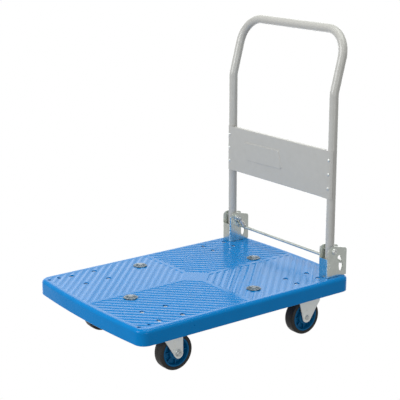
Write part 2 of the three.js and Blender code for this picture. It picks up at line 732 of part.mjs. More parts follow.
// The rigid fork about its axle: two tapering legs under a plate that is bolted to the deck.
function rearForkGeometry() {
  const plateTop = PLATE.top - WHEEL.radius;
  const offsetY = REAR_CASTER.plateY - REAR_CASTER.axleY;
  const legTop = plateTop - 0.5;
  const rearLimit = offsetY + REAR_CASTER.plateAlong / 2;
  const legs = forkLegs(legShape(
    [[FORK.tip + 1.5, 0], [rearLimit, 44], [rearLimit, legTop]],
    [[-32, legTop], [-26, 46]],
  ));
  const plate = plateGeometry(
    REAR_CASTER.plateAcross / 2, REAR_CASTER.plateAlong / 2,
    REAR_CASTER.holesAcross / 2, REAR_CASTER.holesAlong / 2,
  ).translate(0, offsetY, -WHEEL.radius);
  return join(...legs, plate);
}

function rearAxleGeometry() {
  const seat = LEG_OUTER + GAP;
  return turned([
    [0, -seat - 8], [AXLE.radius, -seat - 8], [AXLE.radius, seat], [6.2, seat],
    [6.2, seat + 1.2], [0, seat + 2.4],
  ], FACETS.tube).rotateY(Math.PI / 2);
}

function rearNutGeometry() {
  const seat = LEG_OUTER + GAP;
  const nut = cut(hexagon(13, -seat - AXLE.nutHeight, -seat),
    drill(AXLE.radius, -seat - AXLE.nutHeight - 1, -seat + 1));
  return nut.rotateY(Math.PI / 2);
}

// ---- Assembly ----
function piece(parent, name, geometry, look, place = [0, 0, 0]) {
  const mesh = new THREE.Mesh(geometry, look());
  mesh.name = name;
  mesh.position.set(...place);
  parent.add(mesh);
}

// A group at an axle, whose +X side faces away from the cart's middle.
function axleGroup(parent, side, x, y) {
  const group = new THREE.Group();
  group.position.set(side * x, y, WHEEL.radius);
  parent.add(group);
  return group;
}

function facing(geometry, side) {
  return side > 0 ? geometry : mirrored(geometry);
}

function addWheel(group, prefix, side) {
  piece(group, `${prefix}_hub_${side}`, hubGeometry(), HUB_PLASTIC);
  piece(group, `${prefix}_tyre_${side}`, tyreGeometry(), TYRE_RUBBER);
  piece(group, `${prefix}_bush_${side}`, bushGeometry(), BUSH_PLASTIC);
}

function addFrontCaster(parent, name, side) {
  const place = [side * FRONT_CASTER.x, FRONT_CASTER.kingpinY, 0];
  piece(parent, `front_plate_${name}`, frontPlateGeometry(), ZINC, place);
  piece(parent, `front_race_${name}`, raceGeometry(), ZINC, place);
  piece(parent, `front_kingpin_${name}`, kingpinGeometry(), BOLT_STEEL, place);
  const group = axleGroup(parent, side, FRONT_CASTER.x, FRONT_CASTER.kingpinY + FRONT_CASTER.trail);
  piece(group, `front_fork_${name}`, frontForkGeometry(), ZINC);
  piece(group, `front_axle_${name}`, facing(axleBoltGeometry(), side), BOLT_STEEL);
  piece(group, `front_nut_${name}`, facing(axleNutGeometry(), side), BOLT_STEEL);
  addWheel(group, 'front', name);
}

function addRearCaster(parent, name, side) {
  const group = axleGroup(parent, side, REAR_CASTER.x, REAR_CASTER.axleY);
  piece(group, `rear_fork_${name}`, rearForkGeometry(), ZINC);
  piece(group, `rear_axle_${name}`, facing(rearAxleGeometry(), side), BOLT_STEEL);
  piece(group, `rear_nut_${name}`, facing(rearNutGeometry(), side), BOLT_STEEL);
  addWheel(group, 'rear', name);
}

function addHinge(parent, name, side) {
  const pivot = [side * BRACKET.centre, PIVOT.y, PIVOT_Z];
  piece(parent, `bracket_${name}`, bracketGeometry(side), ZINC);
  bracketBoltPlaces(side).forEach(([x, y], index) => {
    const row = index === 0 ? 'front' : 'rear';
    piece(parent, `bracket_bolt_${name}_${row}`, bracketBoltGeometry(), BOLT_STEEL, [x, y, 0]);
  });
  piece(parent, `pivot_bolt_${name}`, pivotBoltGeometry(side), BOLT_STEEL, pivot);
  piece(parent, `pivot_nut_${name}`, pivotNutGeometry(side), BOLT_STEEL, pivot);
  piece(parent, `lock_spring_${name}`, lockSpringGeometry(side), BOLT_STEEL);
}

function addHandle(parent) {
  piece(parent, 'handle_tube', handleTubeGeometry(), GREY_PAINT);
  piece(parent, 'handle_panel', panelGeometry(), GREY_PAINT);
  for (const [name, side] of SIDES) {
    const leg = [side * HANDLE.half, PIVOT.y, 0];
    piece(parent, `tube_plug_${name}`, tubePlugGeometry(), BLACK_PLASTIC, leg);
    ['low', 'middle', 'high'].forEach((level, index) => {
      const place = [side * HANDLE.half, PIVOT.y, PANEL.rivetHeights[index]];
      piece(parent, `panel_rivet_${name}_${level}`, rivetGeometry(), BOLT_STEEL, place);
    });
  }
}

const cart = new THREE.Group();
piece(cart, 'deck', deckGeometry(), BLUE_PLASTIC);
for (const [name, [x, y]] of Object.entries(STUD_PLACES)) {
  piece(cart, `deck_stud_${name}`, studGeometry(), GREY_PLASTIC, [x, y, DECK.top]);
}
addHandle(cart);
piece(cart, 'lock_rod', lockRodGeometry(), ZINC);
for (const [name, side] of SIDES) {
  addHinge(cart, name, side);
  addFrontCaster(cart, name, side);
  addRearCaster(cart, name, side);
}

export default cart;
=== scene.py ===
# Folding platform cart: the detailed pieces, materials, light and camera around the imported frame.
import json
import math

import bmesh
import bpy
from mathutils import Matrix, Vector


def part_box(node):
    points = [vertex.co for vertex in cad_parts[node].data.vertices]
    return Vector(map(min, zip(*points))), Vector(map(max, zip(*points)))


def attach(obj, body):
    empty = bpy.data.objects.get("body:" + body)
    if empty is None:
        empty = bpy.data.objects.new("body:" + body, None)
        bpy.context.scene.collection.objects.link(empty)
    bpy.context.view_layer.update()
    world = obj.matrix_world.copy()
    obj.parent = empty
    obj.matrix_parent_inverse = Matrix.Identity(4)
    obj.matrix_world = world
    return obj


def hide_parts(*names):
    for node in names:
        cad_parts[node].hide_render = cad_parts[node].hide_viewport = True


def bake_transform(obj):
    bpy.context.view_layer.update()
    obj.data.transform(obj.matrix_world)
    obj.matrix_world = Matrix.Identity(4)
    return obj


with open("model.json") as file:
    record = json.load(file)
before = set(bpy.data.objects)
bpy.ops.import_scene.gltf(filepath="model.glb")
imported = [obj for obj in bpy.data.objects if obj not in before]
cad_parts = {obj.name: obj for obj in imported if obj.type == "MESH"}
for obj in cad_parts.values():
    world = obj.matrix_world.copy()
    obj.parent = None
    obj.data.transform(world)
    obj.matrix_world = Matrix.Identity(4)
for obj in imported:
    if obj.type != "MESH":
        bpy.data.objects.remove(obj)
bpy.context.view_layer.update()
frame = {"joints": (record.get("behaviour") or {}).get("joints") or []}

MM = 0.001
SIDES = (("left", -1), ("right", 1))


# ---- Places from the frame, in millimetres ----
def node_box(node):
    low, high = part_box(node)
    return Vector(low) / MM, Vector(high) / MM


def node_centre(node):
    low, high = node_box(node)
    return (low + high) / 2


def joint_place(name):
    found = [joint for joint in frame["joints"] if joint["name"] == name][0]
    return Vector(found["pos_m"]) / MM


DECK_LOW, DECK_HIGH = node_box("deck")
DECK_TOP = DECK_HIGH.z
DECK_HALF_WIDTH = DECK_HIGH.x
DECK_HALF_LENGTH = DECK_HIGH.y
PIVOT = joint_place("handle_fold")
ROD = node_centre("lock_rod")
ROD_RADIUS = (node_box("lock_rod")[1].z - node_box("lock_rod")[0].z) / 2

# ---- Sizes that the CAD model shares, in millimetres ----
END_BOW = 13
CORNER_RADIUS = 30
EDGE_RADIUS = 10
DECK_WALL = 4.5
RIB = 4
RIB_DEPTH = 34
CELLS_ACROSS = 7
CELLS_ALONG = 10
PAD_LIFT = 10
SCREW_RECESS = 7.5
SCREW_RECESS_DEPTH = 7
SCREW_HOLE = 4.5
BOLT_HOLE = 3.3
STUD_HOLE = {"radius": 4.3, "depth": 10.3}
BLIND_HOLE = {"radius": 5.2, "depth": 12, "x": 219, "rows": (-305, -335)}
FRONT_SCREWS = {"x": 173.6, "y": -232.4, "across": 75.4, "along": 72.4, "plate": (96, 93)}
REAR_SCREWS = {"x": 186, "y": 228, "across": 47, "along": 78.2, "plate": (68, 100)}
FORK_SHEET = 2.5
FORK_TIP = 15.8
TRAIL = 32.4
LEG_INNER = 19.3
AXLE_RADIUS = 4
CHEEK_HALF = 18.5
HANDLE_HALF = 215
PIVOT_RADIUS = 4
PLAY = 0.3
FAR = 600


# ---- Mesh building, in millimetres ----
def piece(name, shape, smooth_angle=32):
    """A new object from a bmesh in millimetres."""
    bmesh.ops.recalc_face_normals(shape, faces=shape.faces)
    shape.transform(Matrix.Scale(MM, 4))
    mesh = bpy.data.meshes.new(name)
    shape.to_mesh(mesh)
    shape.free()
    mesh.shade_smooth()
    mesh.set_sharp_from_angle(angle=math.radians(smooth_angle))
    result = bpy.data.objects.new(name, mesh)
    bpy.context.scene.collection.objects.link(result)
    return result


def moved(shape, x=0, y=0, z=0):
    """Shifts a bmesh and hands it back, so that calls can be nested."""
    shape.transform(Matrix.Translation((x, y, z)))
    return shape


def turned_to(shape, direction):
    """Turns +Z to the given direction."""
    shape.transform(Vector((0, 0, 1)).rotation_difference(Vector(direction)).to_matrix().to_4x4())
    return shape


def mirrored(shape, side):
    """Flips a piece built for the +X side when side is -1."""
    if side < 0:
        shape.transform(Matrix.Diagonal((-1, 1, 1, 1)))
        bmesh.ops.reverse_faces(shape, faces=shape.faces)
    return shape


def bridge(shape, lower, upper):
    """Faces between two rings; a ring of one vertex makes a fan."""
    count = max(len(lower), len(upper))
    for index in range(count):
        corners = []
        after = index + 1
        ring_corners = (
            lower[index % len(lower)], lower[after % len(lower)],
            upper[after % len(upper)], upper[index % len(upper)],
        )
        for corner in ring_corners:
            if corner not in corners:
                corners.append(corner)
        shape.faces.new(corners)


def skin(rings):
    """A closed solid through rings of points, which all have the same number of points."""
    shape = bmesh.new()
    loops = [[shape.verts.new(point) for point in ring] for ring in rings]
    for lower, upper in zip(loops, loops[1:]):
        bridge(shape, lower, upper)
    shape.faces.new(loops[0])
    shape.faces.new(loops[-1])
    bmesh.ops.recalc_face_normals(shape, faces=shape.faces)
    return shape


def lathe(profile, segments=48, closed=False):
    """Turns (radius, height) points about Z; a closed profile makes a ring."""
    shape = bmesh.new()
    rings = []
    for radius, height in profile:
        if radius == 0:
            rings.append([shape.verts.new((0, 0, height))])
            continue
        ring = []
        for step in range(segments):
            angle = 2 * math.pi * step / segments
            place = (radius * math.cos(angle), radius * math.sin(angle), height)
            ring.append(shape.verts.new(place))
        rings.append(ring)
    pairs = list(zip(rings, rings[1:]))
    if closed:
        pairs.append((rings[-1], rings[0]))
    for lower, upper in pairs:
        bridge(shape, lower, upper)
    bmesh.ops.recalc_face_normals(shape, faces=shape.faces)
    return shape


def cylinder(radius, low, high, segments=32):
    return lathe([(0, low), (radius, low), (radius, high), (0, high)], segments)


def frustum(lower_outline, low, upper_outline, high):
    """A solid between two outlines with the same number of points."""
    return skin([[(x, y, low) for x, y in lower_outline], [(x, y, high) for x, y in upper_outline]])


def prism(outline, low, high):
    """Extrudes an XY outline from z = low to z = high."""
    shape = bmesh.new()
    bottom = [shape.verts.new((x, y, low)) for x, y in outline]
    top = [shape.verts.new((x, y, high)) for x, y in outline]
    shape.faces.new(bottom)
    shape.faces.new(top)
    bridge(shape, bottom, top)
    bmesh.ops.recalc_face_normals(shape, faces=shape.faces)
    return shape


def side_prism(outline, low, high):
    """Extrudes a YZ outline from x = low to x = high."""
    shape = prism(outline, low, high)
    shape.transform(Matrix(((0, 0, 1, 0), (1, 0, 0, 0), (0, 1, 0, 0), (0, 0, 0, 1))))
    return shape


def front_prism(outline, low, high):
    """Extrudes an XZ outline from y = low to y = high."""
    shape = prism(outline, -high, -low)
    shape.transform(Matrix.Rotation(math.pi / 2, 4, "X"))
    return shape


def block(low, high):
    outline = [(low[0], low[1]), (high[0], low[1]), (high[0], high[1]), (low[0], high[1])]
    return prism(outline, low[2], high[2])


def cross_bar(radius, low, high, y, z, segments=32):
    return moved(turned_to(cylinder(radius, low, high, segments), (1, 0, 0)), 0, y, z)


def arc(centre, radius, start, end, steps):
    """Points round a centre, from start to end in degrees."""
    points = []
    for step in range(steps + 1):
        angle = math.radians(start + (end - start) * step / steps)
        points.append((centre[0] + radius * math.cos(angle), centre[1] + radius * math.sin(angle)))
    return points


def rounded(corners, steps=6):
    """An outline from (x, y, radius) corners."""
    outline = []
    count = len(corners)
    for index, (x, y, radius) in enumerate(corners):
        here = Vector((x, y))
        if radius <= 0:
            outline.append((x, y))
            continue
        back = (Vector(corners[index - 1][:2]) - here).normalized()
        ahead = (Vector(corners[(index + 1) % count][:2]) - here).normalized()
        half = back.angle(ahead) / 2
        centre = here + (back + ahead).normalized() * (radius / math.sin(half))
        first = here + back * (radius / math.tan(half)) - centre
        last = here + ahead * (radius / math.tan(half)) - centre
        turn = first.angle_signed(last)
        for step in range(steps + 1):
            spoke = first.copy()
            spoke.rotate(Matrix.Rotation(-turn * step / steps, 2))
            outline.append(tuple(centre + spoke))
    return outline


def sweep(points, radius, sides=24):
    """A round bar along a list of points, with flat ends."""
    path = [Vector(point) for point in points]
    normal = None
    rings = []
    for index, point in enumerate(path):
        before = path[max(index - 1, 0)]
        after = path[min(index + 1, len(path) - 1)]
        tangent = (after - before).normalized()
        if normal is None:
            normal = tangent.orthogonal().normalized()
        normal = (normal - tangent * normal.dot(tangent)).normalized()
        other = tangent.cross(normal)
        ring = []
        for side in range(sides):
            angle = 2 * math.pi * side / sides
            offset = normal * math.cos(angle) + other * math.sin(angle)
            ring.append(point + offset * radius)
        rings.append(ring)
    return skin(rings)


def together(*parts):
    """One bmesh holding all the parts, side by side."""
    whole = bmesh.new()
    for part in parts:
        mesh = bpy.data.meshes.new("part")
        part.to_mesh(mesh)
        part.free()
        whole.from_mesh(mesh)
        bpy.data.meshes.remove(mesh)
    return whole


def through_modifiers(shape, add_modifiers, *helpers):
    """Runs modifiers on a bmesh; helpers are bmeshes that the modifiers point at."""
    scratch = []
    for data in (shape, *helpers):
        mesh = bpy.data.meshes.new("scratch")
        data.to_mesh(mesh)
        data.free()
        scratch.append(bpy.data.objects.new("scratch", mesh))
        bpy.context.scene.collection.objects.link(scratch[-1])
    add_modifiers(*scratch)
    graph = bpy.context.evaluated_depsgraph_get()
    evaluated = bpy.data.meshes.new_from_object(scratch[0].evaluated_get(graph), depsgraph=graph)
    result = bmesh.new()
    result.from_mesh(evaluated)
    bpy.data.meshes.remove(evaluated)
    for thing in scratch:
        mesh = thing.data
        bpy.data.objects.remove(thing)
        bpy.data.meshes.remove(mesh)
    return result


def combined(operation, base, *others):
    def add(target, *operands):
        for operand in operands:
            modifier = target.modifiers.new("combine", "BOOLEAN")
            modifier.operation = operation
            modifier.solver = "EXACT"
            modifier.object = operand
    return through_modifiers(base, add, *others)


def union(base, *others):
    return combined("UNION", base, *others)


def without(base, *others):
    return combined("DIFFERENCE", base, *others)


def bevelled(shape, width, segments=2, angle=40):
    def add(target):
        modifier = target.modifiers.new("bevel", "BEVEL")
        modifier.width = width
        modifier.segments = segments
        modifier.limit_method = "ANGLE"
        modifier.angle_limit = math.radians(angle)
        modifier.use_clamp_overlap = True
    bmesh.ops.remove_doubles(shape, verts=shape.verts, dist=0.01)
    bmesh.ops.dissolve_limit(
        shape, angle_limit=math.radians(1), verts=shape.verts, edges=shape.edges,
    )
    return through_modifiers(shape, add)


# ---- Materials ----
NOISE_LOW = 0.3
NOISE_HIGH = 0.7
SMOOTHEST = 0.02
RELIEF_DEPTH = 0.0004
SPANGLE_GRAIN = 260


def surface(
    name, colour, roughness, metallic=0.0, tint=0.05, grain=60.0, wear=0.06,
    bump=0.05, bump_grain=900.0, shine=0.5,
):
    """A principled surface whose colour, roughness and relief vary with noise; grains are per metre."""
    material = bpy.data.materials.new(name)
    material.use_nodes = True
    nodes = material.node_tree.nodes
    links = material.node_tree.links
    shader = nodes["Principled BSDF"]
    shader.inputs["Metallic"].default_value = metallic
    shader.inputs["Specular IOR Level"].default_value = shine
    place = nodes.new("ShaderNodeTexCoord")

    clouds = nodes.new("ShaderNodeTexNoise")
    clouds.inputs["Scale"].default_value = grain
    clouds.inputs["Detail"].default_value = 4
    links.new(place.outputs["Object"], clouds.inputs["Vector"])

    ramp = nodes.new("ShaderNodeValToRGB")
    ramp.color_ramp.elements[0].position = NOISE_LOW
    ramp.color_ramp.elements[1].position = NOISE_HIGH
    for element, share in zip(ramp.color_ramp.elements, (1 - tint, 1 + tint)):
        element.color = (*[min(channel * share, 1) for channel in colour], 1)
    links.new(clouds.outputs["Fac"], ramp.inputs["Fac"])
    links.new(ramp.outputs["Color"], shader.inputs["Base Color"])

    gloss = nodes.new("ShaderNodeMapRange")
    gloss.inputs["From Min"].default_value = NOISE_LOW
    gloss.inputs["From Max"].default_value = NOISE_HIGH
    gloss.inputs["To Min"].default_value = max(roughness - wear, SMOOTHEST)
    gloss.inputs["To Max"].default_value = roughness + wear
    links.new(clouds.outputs["Fac"], gloss.inputs["Value"])
    links.new(gloss.outputs["Result"], shader.inputs["Roughness"])

    fine = nodes.new("ShaderNodeTexNoise")
    fine.inputs["Scale"].default_value = bump_grain
    fine.inputs["Detail"].default_value = 3
    links.new(place.outputs["Object"], fine.inputs["Vector"])
    relief = nodes.new("ShaderNodeBump")
    relief.inputs["Strength"].default_value = bump
    relief.inputs["Distance"].default_value = RELIEF_DEPTH
    links.new(fine.outputs["Fac"], relief.inputs["Height"])
    links.new(relief.outputs["Normal"], shader.inputs["Normal"])
    return material


def with_spangle(material, strength):
    """Galvanised flakes: patches of slightly different brightness."""
    nodes = material.node_tree.nodes
    links = material.node_tree.links
    shader = nodes["Principled BSDF"]
    flakes = nodes.new("ShaderNodeTexVoronoi")
    flakes.inputs["Scale"].default_value = SPANGLE_GRAIN
    place = [node for node in nodes if node.type == "TEX_COORD"][0]
    links.new(place.outputs["Object"], flakes.inputs["Vector"])
    shade = nodes.new("ShaderNodeHueSaturation")
    spread = nodes.new("ShaderNodeMapRange")
    spread.inputs["To Min"].default_value = 1 - strength
    spread.inputs["To Max"].default_value = 1 + strength
    grey = nodes.new("ShaderNodeRGBToBW")
    links.new(flakes.outputs["Color"], grey.inputs["Color"])
    links.new(grey.outputs["Val"], spread.inputs["Value"])
    links.new(spread.outputs["Result"], shade.inputs["Value"])
    tinted = shader.inputs["Base Color"].links[0].from_socket
    links.new(tinted, shade.inputs["Color"])
    links.new(shade.outputs["Color"], shader.inputs["Base Color"])
    return material


def materials():
    zinc_sheet = surface(
        "zinc sheet", (0.87, 0.92, 0.86), 0.24, metallic=1.0, tint=0.04, wear=0.04, bump=0.02,
    )
    # A brighter, mostly non-metallic copy of the zinc sheet for the caster sheets: its raised colour is
    # painted light for parts that face the room's dark side and sit in the deck's shade.
    painted_light_zinc = surface(
        "painted light zinc", (0.93, 0.95, 0.91), 0.3, metallic=0.2, tint=0.02, wear=0.03, bump=0.02,
    )
    return {
        "deck_plastic": surface(
            "deck plastic", (0.0, 0.191, 0.522), 0.2, tint=0.03, grain=25, wear=0.03,
            bump=0.015, bump_grain=1400, shine=0.15,
        ),
        "stud_plastic": surface("stud plastic", (0.09, 0.14, 0.18), 0.2, metallic=0.5),
        "grey_paint": surface(
            "grey paint", (0.465, 0.462, 0.44), 0.22, tint=0.02, wear=0.03,
            bump=0.06, bump_grain=650, shine=0.45,
        ),
        "plug_plastic": surface("plug plastic", (0.018, 0.018, 0.019), 0.5),
        "zinc_sheet": with_spangle(zinc_sheet, 0.03),
        "painted_light_zinc": with_spangle(painted_light_zinc, 0.015),
        "zinc_bar": surface("zinc bar", (0.68, 0.71, 0.67), 0.4, metallic=0.8, bump=0.01),
        "spring_steel": surface("spring steel", (0.6, 0.6, 0.6), 0.28, metallic=1.0, bump=0.02),
        "zinc_fastener": surface(
            "zinc fastener", (0.7, 0.72, 0.7), 0.32, metallic=0.6, grain=140, bump=0.02,
        ),
        "hub_plastic": surface("hub plastic", (0.0, 0.115, 0.28), 0.32, wear=0.04, shine=0.2),
        "tyre_rubber": surface(
            "tyre rubber", (0.022, 0.020, 0.018), 0.62, tint=0.15, wear=0.1, bump=0.3, bump_grain=700,
        ),
        "bush_plastic": surface("bush plastic", (0.68, 0.66, 0.60), 0.4),
    }


LOOKS = materials()


def made(name, shape, body, slot, *replaced, smooth_angle=32, look=None):
    """A finished piece; it wears its slot's look unless another one is named."""
    result = piece(name, shape, smooth_angle)
    result.data.materials.append(LOOKS[look or slot])
    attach(result, body)
    if replaced:
        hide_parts(*replaced)


# ---- Deck ----
GROOVE = {"pitch": 18, "ridge": 4, "depth": 1.2, "run_out": 7, "rim": 14, "band": 8, "diamond": 50}
SEAM = {"radius": 1.2, "depth": 0.25, "x": 85}
PIN_MARK = {"radius": 1.4, "depth": 1.5, "y": -190, "z": 141}
STUD_PLACES = ("left", "front", "rear", "right")


def deck_outline(inset):
    """Straight long sides, bowed ends and round corners, moved in by inset."""
    corner_steps = 12
    bow_points = 28
    half = DECK_HALF_WIDTH - inset
    radius = CORNER_RADIUS - inset
    straight = half - radius

    def end(x):
        return DECK_HALF_LENGTH - inset - END_BOW * (x / DECK_HALF_WIDTH) ** 2

    rear_right = arc((straight, end(straight) - radius), radius, 0, 90, corner_steps)
    bow = [straight * (1 - 2 * step / bow_points) for step in range(1, bow_points)]
    rear = rear_right + [(x, end(x)) for x in bow] + [(-x, y) for x, y in reversed(rear_right)]
    return rear + [(-x, -y) for x, y in rear]


def deck_shell():
    bottom_edge = 1.5
    flat_margin = 0.6
    levels = [
        (bottom_edge - x, DECK_LOW.z + bottom_edge - z) for x, z in arc((0, 0), bottom_edge, 90, 0, 4)
    ]
    levels += [
        (EDGE_RADIUS - x, DECK_TOP - EDGE_RADIUS + z) for x, z in arc((0, 0), EDGE_RADIUS, 0, 90, 12)
    ]
    levels.append((EDGE_RADIUS + flat_margin, DECK_TOP))
    return skin([[(x, y, z) for x, y in deck_outline(inset)] for inset, z in levels])


def caster_patterns():
    for pattern in (FRONT_SCREWS, REAR_SCREWS):
        for _, side in SIDES:
            yield pattern, side * pattern["x"], pattern["y"]


def screw_places():
    for pattern, x, y in caster_patterns():
        for across, along in ((-1, -1), (1, -1), (1, 1), (-1, 1)):
            yield x + across * pattern["across"] / 2, y + along * pattern["along"] / 2


def plate_block(pattern, x, y, margin, low, high):
    half_x = pattern["plate"][0] / 2 + margin
    half_y = pattern["plate"][1] / 2 + margin
    return block((x - half_x, y - half_y, low), (x + half_x, y + half_y, high))


def rib_cells():
    rim_x = DECK_HALF_WIDTH - DECK_WALL
    rim_y = DECK_HALF_LENGTH - END_BOW - DECK_WALL
    pitch_x = (2 * rim_x + RIB) / CELLS_ACROSS
    pitch_y = (2 * rim_y + RIB) / CELLS_ALONG
    round_off = 3
    cells = []
    for column in range(CELLS_ACROSS):
        for row in range(CELLS_ALONG):
            if column in (0, CELLS_ACROSS - 1) and row in (0, CELLS_ALONG - 1):
                continue
            x = -rim_x + column * pitch_x
            y = -rim_y + row * pitch_y
            corners = [
                (x, y, round_off), (x + pitch_x - RIB, y, round_off),
                (x + pitch_x - RIB, y + pitch_y - RIB, round_off), (x, y + pitch_y - RIB, round_off),
            ]
            cells.append(prism(rounded(corners, 3), DECK_LOW.z - 1, DECK_LOW.z + RIB_DEPTH))
    return together(*cells)


def groove_bars():
    """Bars with round bellies for the hollows of one quadrant, across its diagonal."""
    last = FAR * 0.75
    belly_steps = 8
    half = (GROOVE["pitch"] - GROOVE["ridge"]) / 2
    offset = GROOVE["diamond"] / math.sqrt(2)
    bars = []
    while offset < last:
        middle = offset + half
        outline = [(middle + half, DECK_TOP + 1), (middle - half, DECK_TOP + 1)]
        for step in range(belly_steps + 1):
            share = 2 * step / belly_steps - 1
            outline.append((middle + half * share, DECK_TOP - GROOVE["depth"] * (1 - share ** 2)))
        bar = front_prism(outline, -FAR, FAR)
        bar.transform(Matrix.Rotation(math.pi / 4, 4, "Z"))
        bars.append(bar)
        offset += GROOVE["pitch"]
    return together(*bars)


def groove_field(across, along):
    """One quadrant inside the deck's plain rim and centre bands; its walls lean, so hollows run out."""
    below = 1.5
    above = 0.5
    lean = GROOVE["run_out"] * below
    rise = GROOVE["run_out"] * above
    rim = GROOVE["rim"]
    low, high = DECK_TOP - below, DECK_TOP + above
    field = frustum(deck_outline(rim + lean), low, deck_outline(rim - rise), high)
    half = GROOVE["band"] / 2

    def square(near):
        return [(near, near), (FAR, near), (FAR, FAR), (near, FAR)]

    corner = frustum(square(half + lean), low - 1, square(half - rise), high + 1)
    corner.transform(Matrix.Diagonal((across, along, 1, 1)))
    bmesh.ops.recalc_face_normals(corner, faces=corner.faces)
    return combined("INTERSECT", field, corner)


def deck_grooves():
    quadrants = []
    for across in (1, -1):
        for along in (1, -1):
            bars = groove_bars()
            bars.transform(Matrix.Diagonal((across, along, 1, 1)))
            bmesh.ops.recalc_face_normals(bars, faces=bars.faces)
            quadrants.append(combined("INTERSECT", bars, groove_field(across, along)))
    return together(*quadrants)


def stepped_hole(x, y, levels, lip=0.6):
    """A cutter with (radius, height) steps; the last one goes up to a small lip at the deck's top."""
    last = levels[-1][0]
    profile = [(0, levels[0][1]), *levels[:-1], (last, DECK_TOP - lip)]
    profile += [(last + lip, DECK_TOP), (last + lip, DECK_TOP + 1), (0, DECK_TOP + 1)]
    return moved(lathe(profile, 40), x, y)


def bolt_places(name):
    for end in ("front", "rear"):
        node = f"bracket_bolt_{name}_{end}"
        centre = node_centre(node)
        yield node, centre.x, centre.y


def deck_holes():
    pad = DECK_LOW.z + PAD_LIFT
    seat = DECK_TOP - SCREW_RECESS_DEPTH
    screw_steps = [(SCREW_HOLE, pad - 1), (SCREW_HOLE, seat), (SCREW_RECESS, seat), (SCREW_RECESS, DECK_TOP)]
    holes = [stepped_hole(x, y, screw_steps) for x, y in screw_places()]
    for name, side in SIDES:
        for row in BLIND_HOLE["rows"]:
            radius = BLIND_HOLE["radius"]
            foot = DECK_TOP - BLIND_HOLE["depth"]
            holes.append(stepped_hole(side * BLIND_HOLE["x"], row, [(radius, foot), (radius, DECK_TOP)]))
        for _, x, y in bolt_places(name):
            holes.append(moved(cylinder(BOLT_HOLE, DECK_LOW.z - 1, DECK_TOP + 1), x, y))
        face = side * DECK_HALF_WIDTH
        depth = PIN_MARK["depth"]
        holes.append(cross_bar(
            PIN_MARK["radius"], face - depth, face + depth, PIN_MARK["y"], PIN_MARK["z"], 16,
        ))
        seam_x = side * SEAM["x"]
        face_y = DECK_HALF_LENGTH - END_BOW * (seam_x / DECK_HALF_WIDTH) ** 2
        end = face_y + SEAM["radius"] - SEAM["depth"]
        for seam_y in (-end, end):
            seam = cylinder(SEAM["radius"], DECK_LOW.z - 1, DECK_TOP - EDGE_RADIUS, 16)
            holes.append(moved(seam, seam_x, seam_y))
    for place in STUD_PLACES:
        centre = node_centre(f"deck_stud_{place}")
        post = cylinder(STUD_HOLE["radius"], DECK_TOP - STUD_HOLE["depth"], DECK_TOP + 1)
        holes.append(moved(post, centre.x, centre.y))
    return together(*holes)


def make_deck():
    pad = DECK_LOW.z + PAD_LIFT
    below = DECK_LOW.z - 2
    pad_margin = 7
    pocket_margin = 1
    bolt_pad = 9
    pads = [plate_block(*place, pad_margin, below, DECK_TOP) for place in caster_patterns()]
    pockets = [plate_block(*place, pocket_margin, below, pad) for place in caster_patterns()]
    for name, _ in SIDES:
        pads += [moved(cylinder(bolt_pad, below, DECK_TOP), x, y) for _, x, y in bolt_places(name)]
    cells = without(rib_cells(), *pads)
    deck = without(deck_shell(), cells, together(*pockets))
    deck = without(deck, deck_grooves())
    deck = without(deck, deck_holes())
    made("deck_moulding", deck, "deck", "deck_plastic", "deck", smooth_angle=10)


def make_studs():
    """Shallow caps; every other point of their pleated ring is pressed down."""
    pleats = 24
    pressed = 1.1
    profile = [
        (0, -10), (4, -10), (4, 0.3), (19.5, 0.3), (19.5, 1.0), (18.6, 1.9), (12, 3.0),
        (5, 3.6), (4, 3.4), (0, 3.4),
    ]
    for place in STUD_PLACES:
        node = f"deck_stud_{place}"
        centre = node_centre(node)
        stud = lathe(profile, pleats)
        for vertex in stud.verts:
            radius = math.hypot(vertex.co.x, vertex.co.y)
            turn = round(math.degrees(math.atan2(vertex.co.y, vertex.co.x)) / (360 / pleats))
            if 11 < radius < 13 and turn % 2:
                vertex.co.z -= pressed
        stud = moved(stud, centre.x, centre.y, DECK_TOP)
        made(f"stud_{place}", stud, "deck", "stud_plastic", node, smooth_angle=2)


# ---- Fasteners ----
def hexagon(across_flats, low, high, chamfer=1.0, bore=0.0):
    """A hexagon with turned chamfers on its ends, with a bore if one is given."""
    radius = across_flats / math.sqrt(3)
    prism_part = prism(arc((0, 0), radius, 0, 300, 5), low, high)
    inside = across_flats / 2 - 0.3
    turned = lathe([
        (0, low), (inside, low), (radius + 0.2, low + chamfer), (radius + 0.2, high - chamfer),
        (inside, high), (0, high),
    ], 36)
    nut = combined("INTERSECT", prism_part, turned)
    if bore:
        nut = without(nut, cylinder(bore, low - 1, high + 1))
    return nut


def threaded(radius, low, high):
    """A shank whose upper end has thread rings and a chamfer."""
    pitch = 1.25
    depth = 0.45
    plain_foot = 2
    plain_tip = 1.2
    chamfer = 0.9
    profile = [(0, low), (radius, low)]
    height = low + plain_foot
    while height < high - plain_tip:
        profile += [(radius, height), (radius - depth, height + pitch / 2)]
        height += pitch
    profile += [(radius, height), (radius - chamfer, high), (0, high)]
    return lathe(profile, 28)


# ---- Bracket and lock ----
BRACKET_SHEET = 2.5
BRACKET_WALL = 54
CHEEK_FRONT_RADIUS = 20
CHEEK_REAR_RADIUS = 9
CHEEK_REAR_HEIGHT = 79.5
DIMPLES = {"y": 287.5, "heights": (38.5, 29.5)}


def tapered_slot(upper, upper_radius, lower, lower_radius):
    return arc(upper, upper_radius, 0, 180, 14) + arc(lower, lower_radius, 180, 360, 14)


def lock_slots(low, high):
    rest = (ROD.y, ROD.z)
    lobe = (ROD.y - 5, ROD.z + 12.5)
    widest = (ROD.y + 1, ROD.z - 12)
    foot = (ROD.y + 1, ROD.z - 20.5)
    stretches = ((lobe, 6.3, rest, 5.4), (rest, 5.4, widest, 7.2), (widest, 7.2, foot, 5.9))
    return [side_prism(tapered_slot(*stretch), low, high) for stretch in stretches]


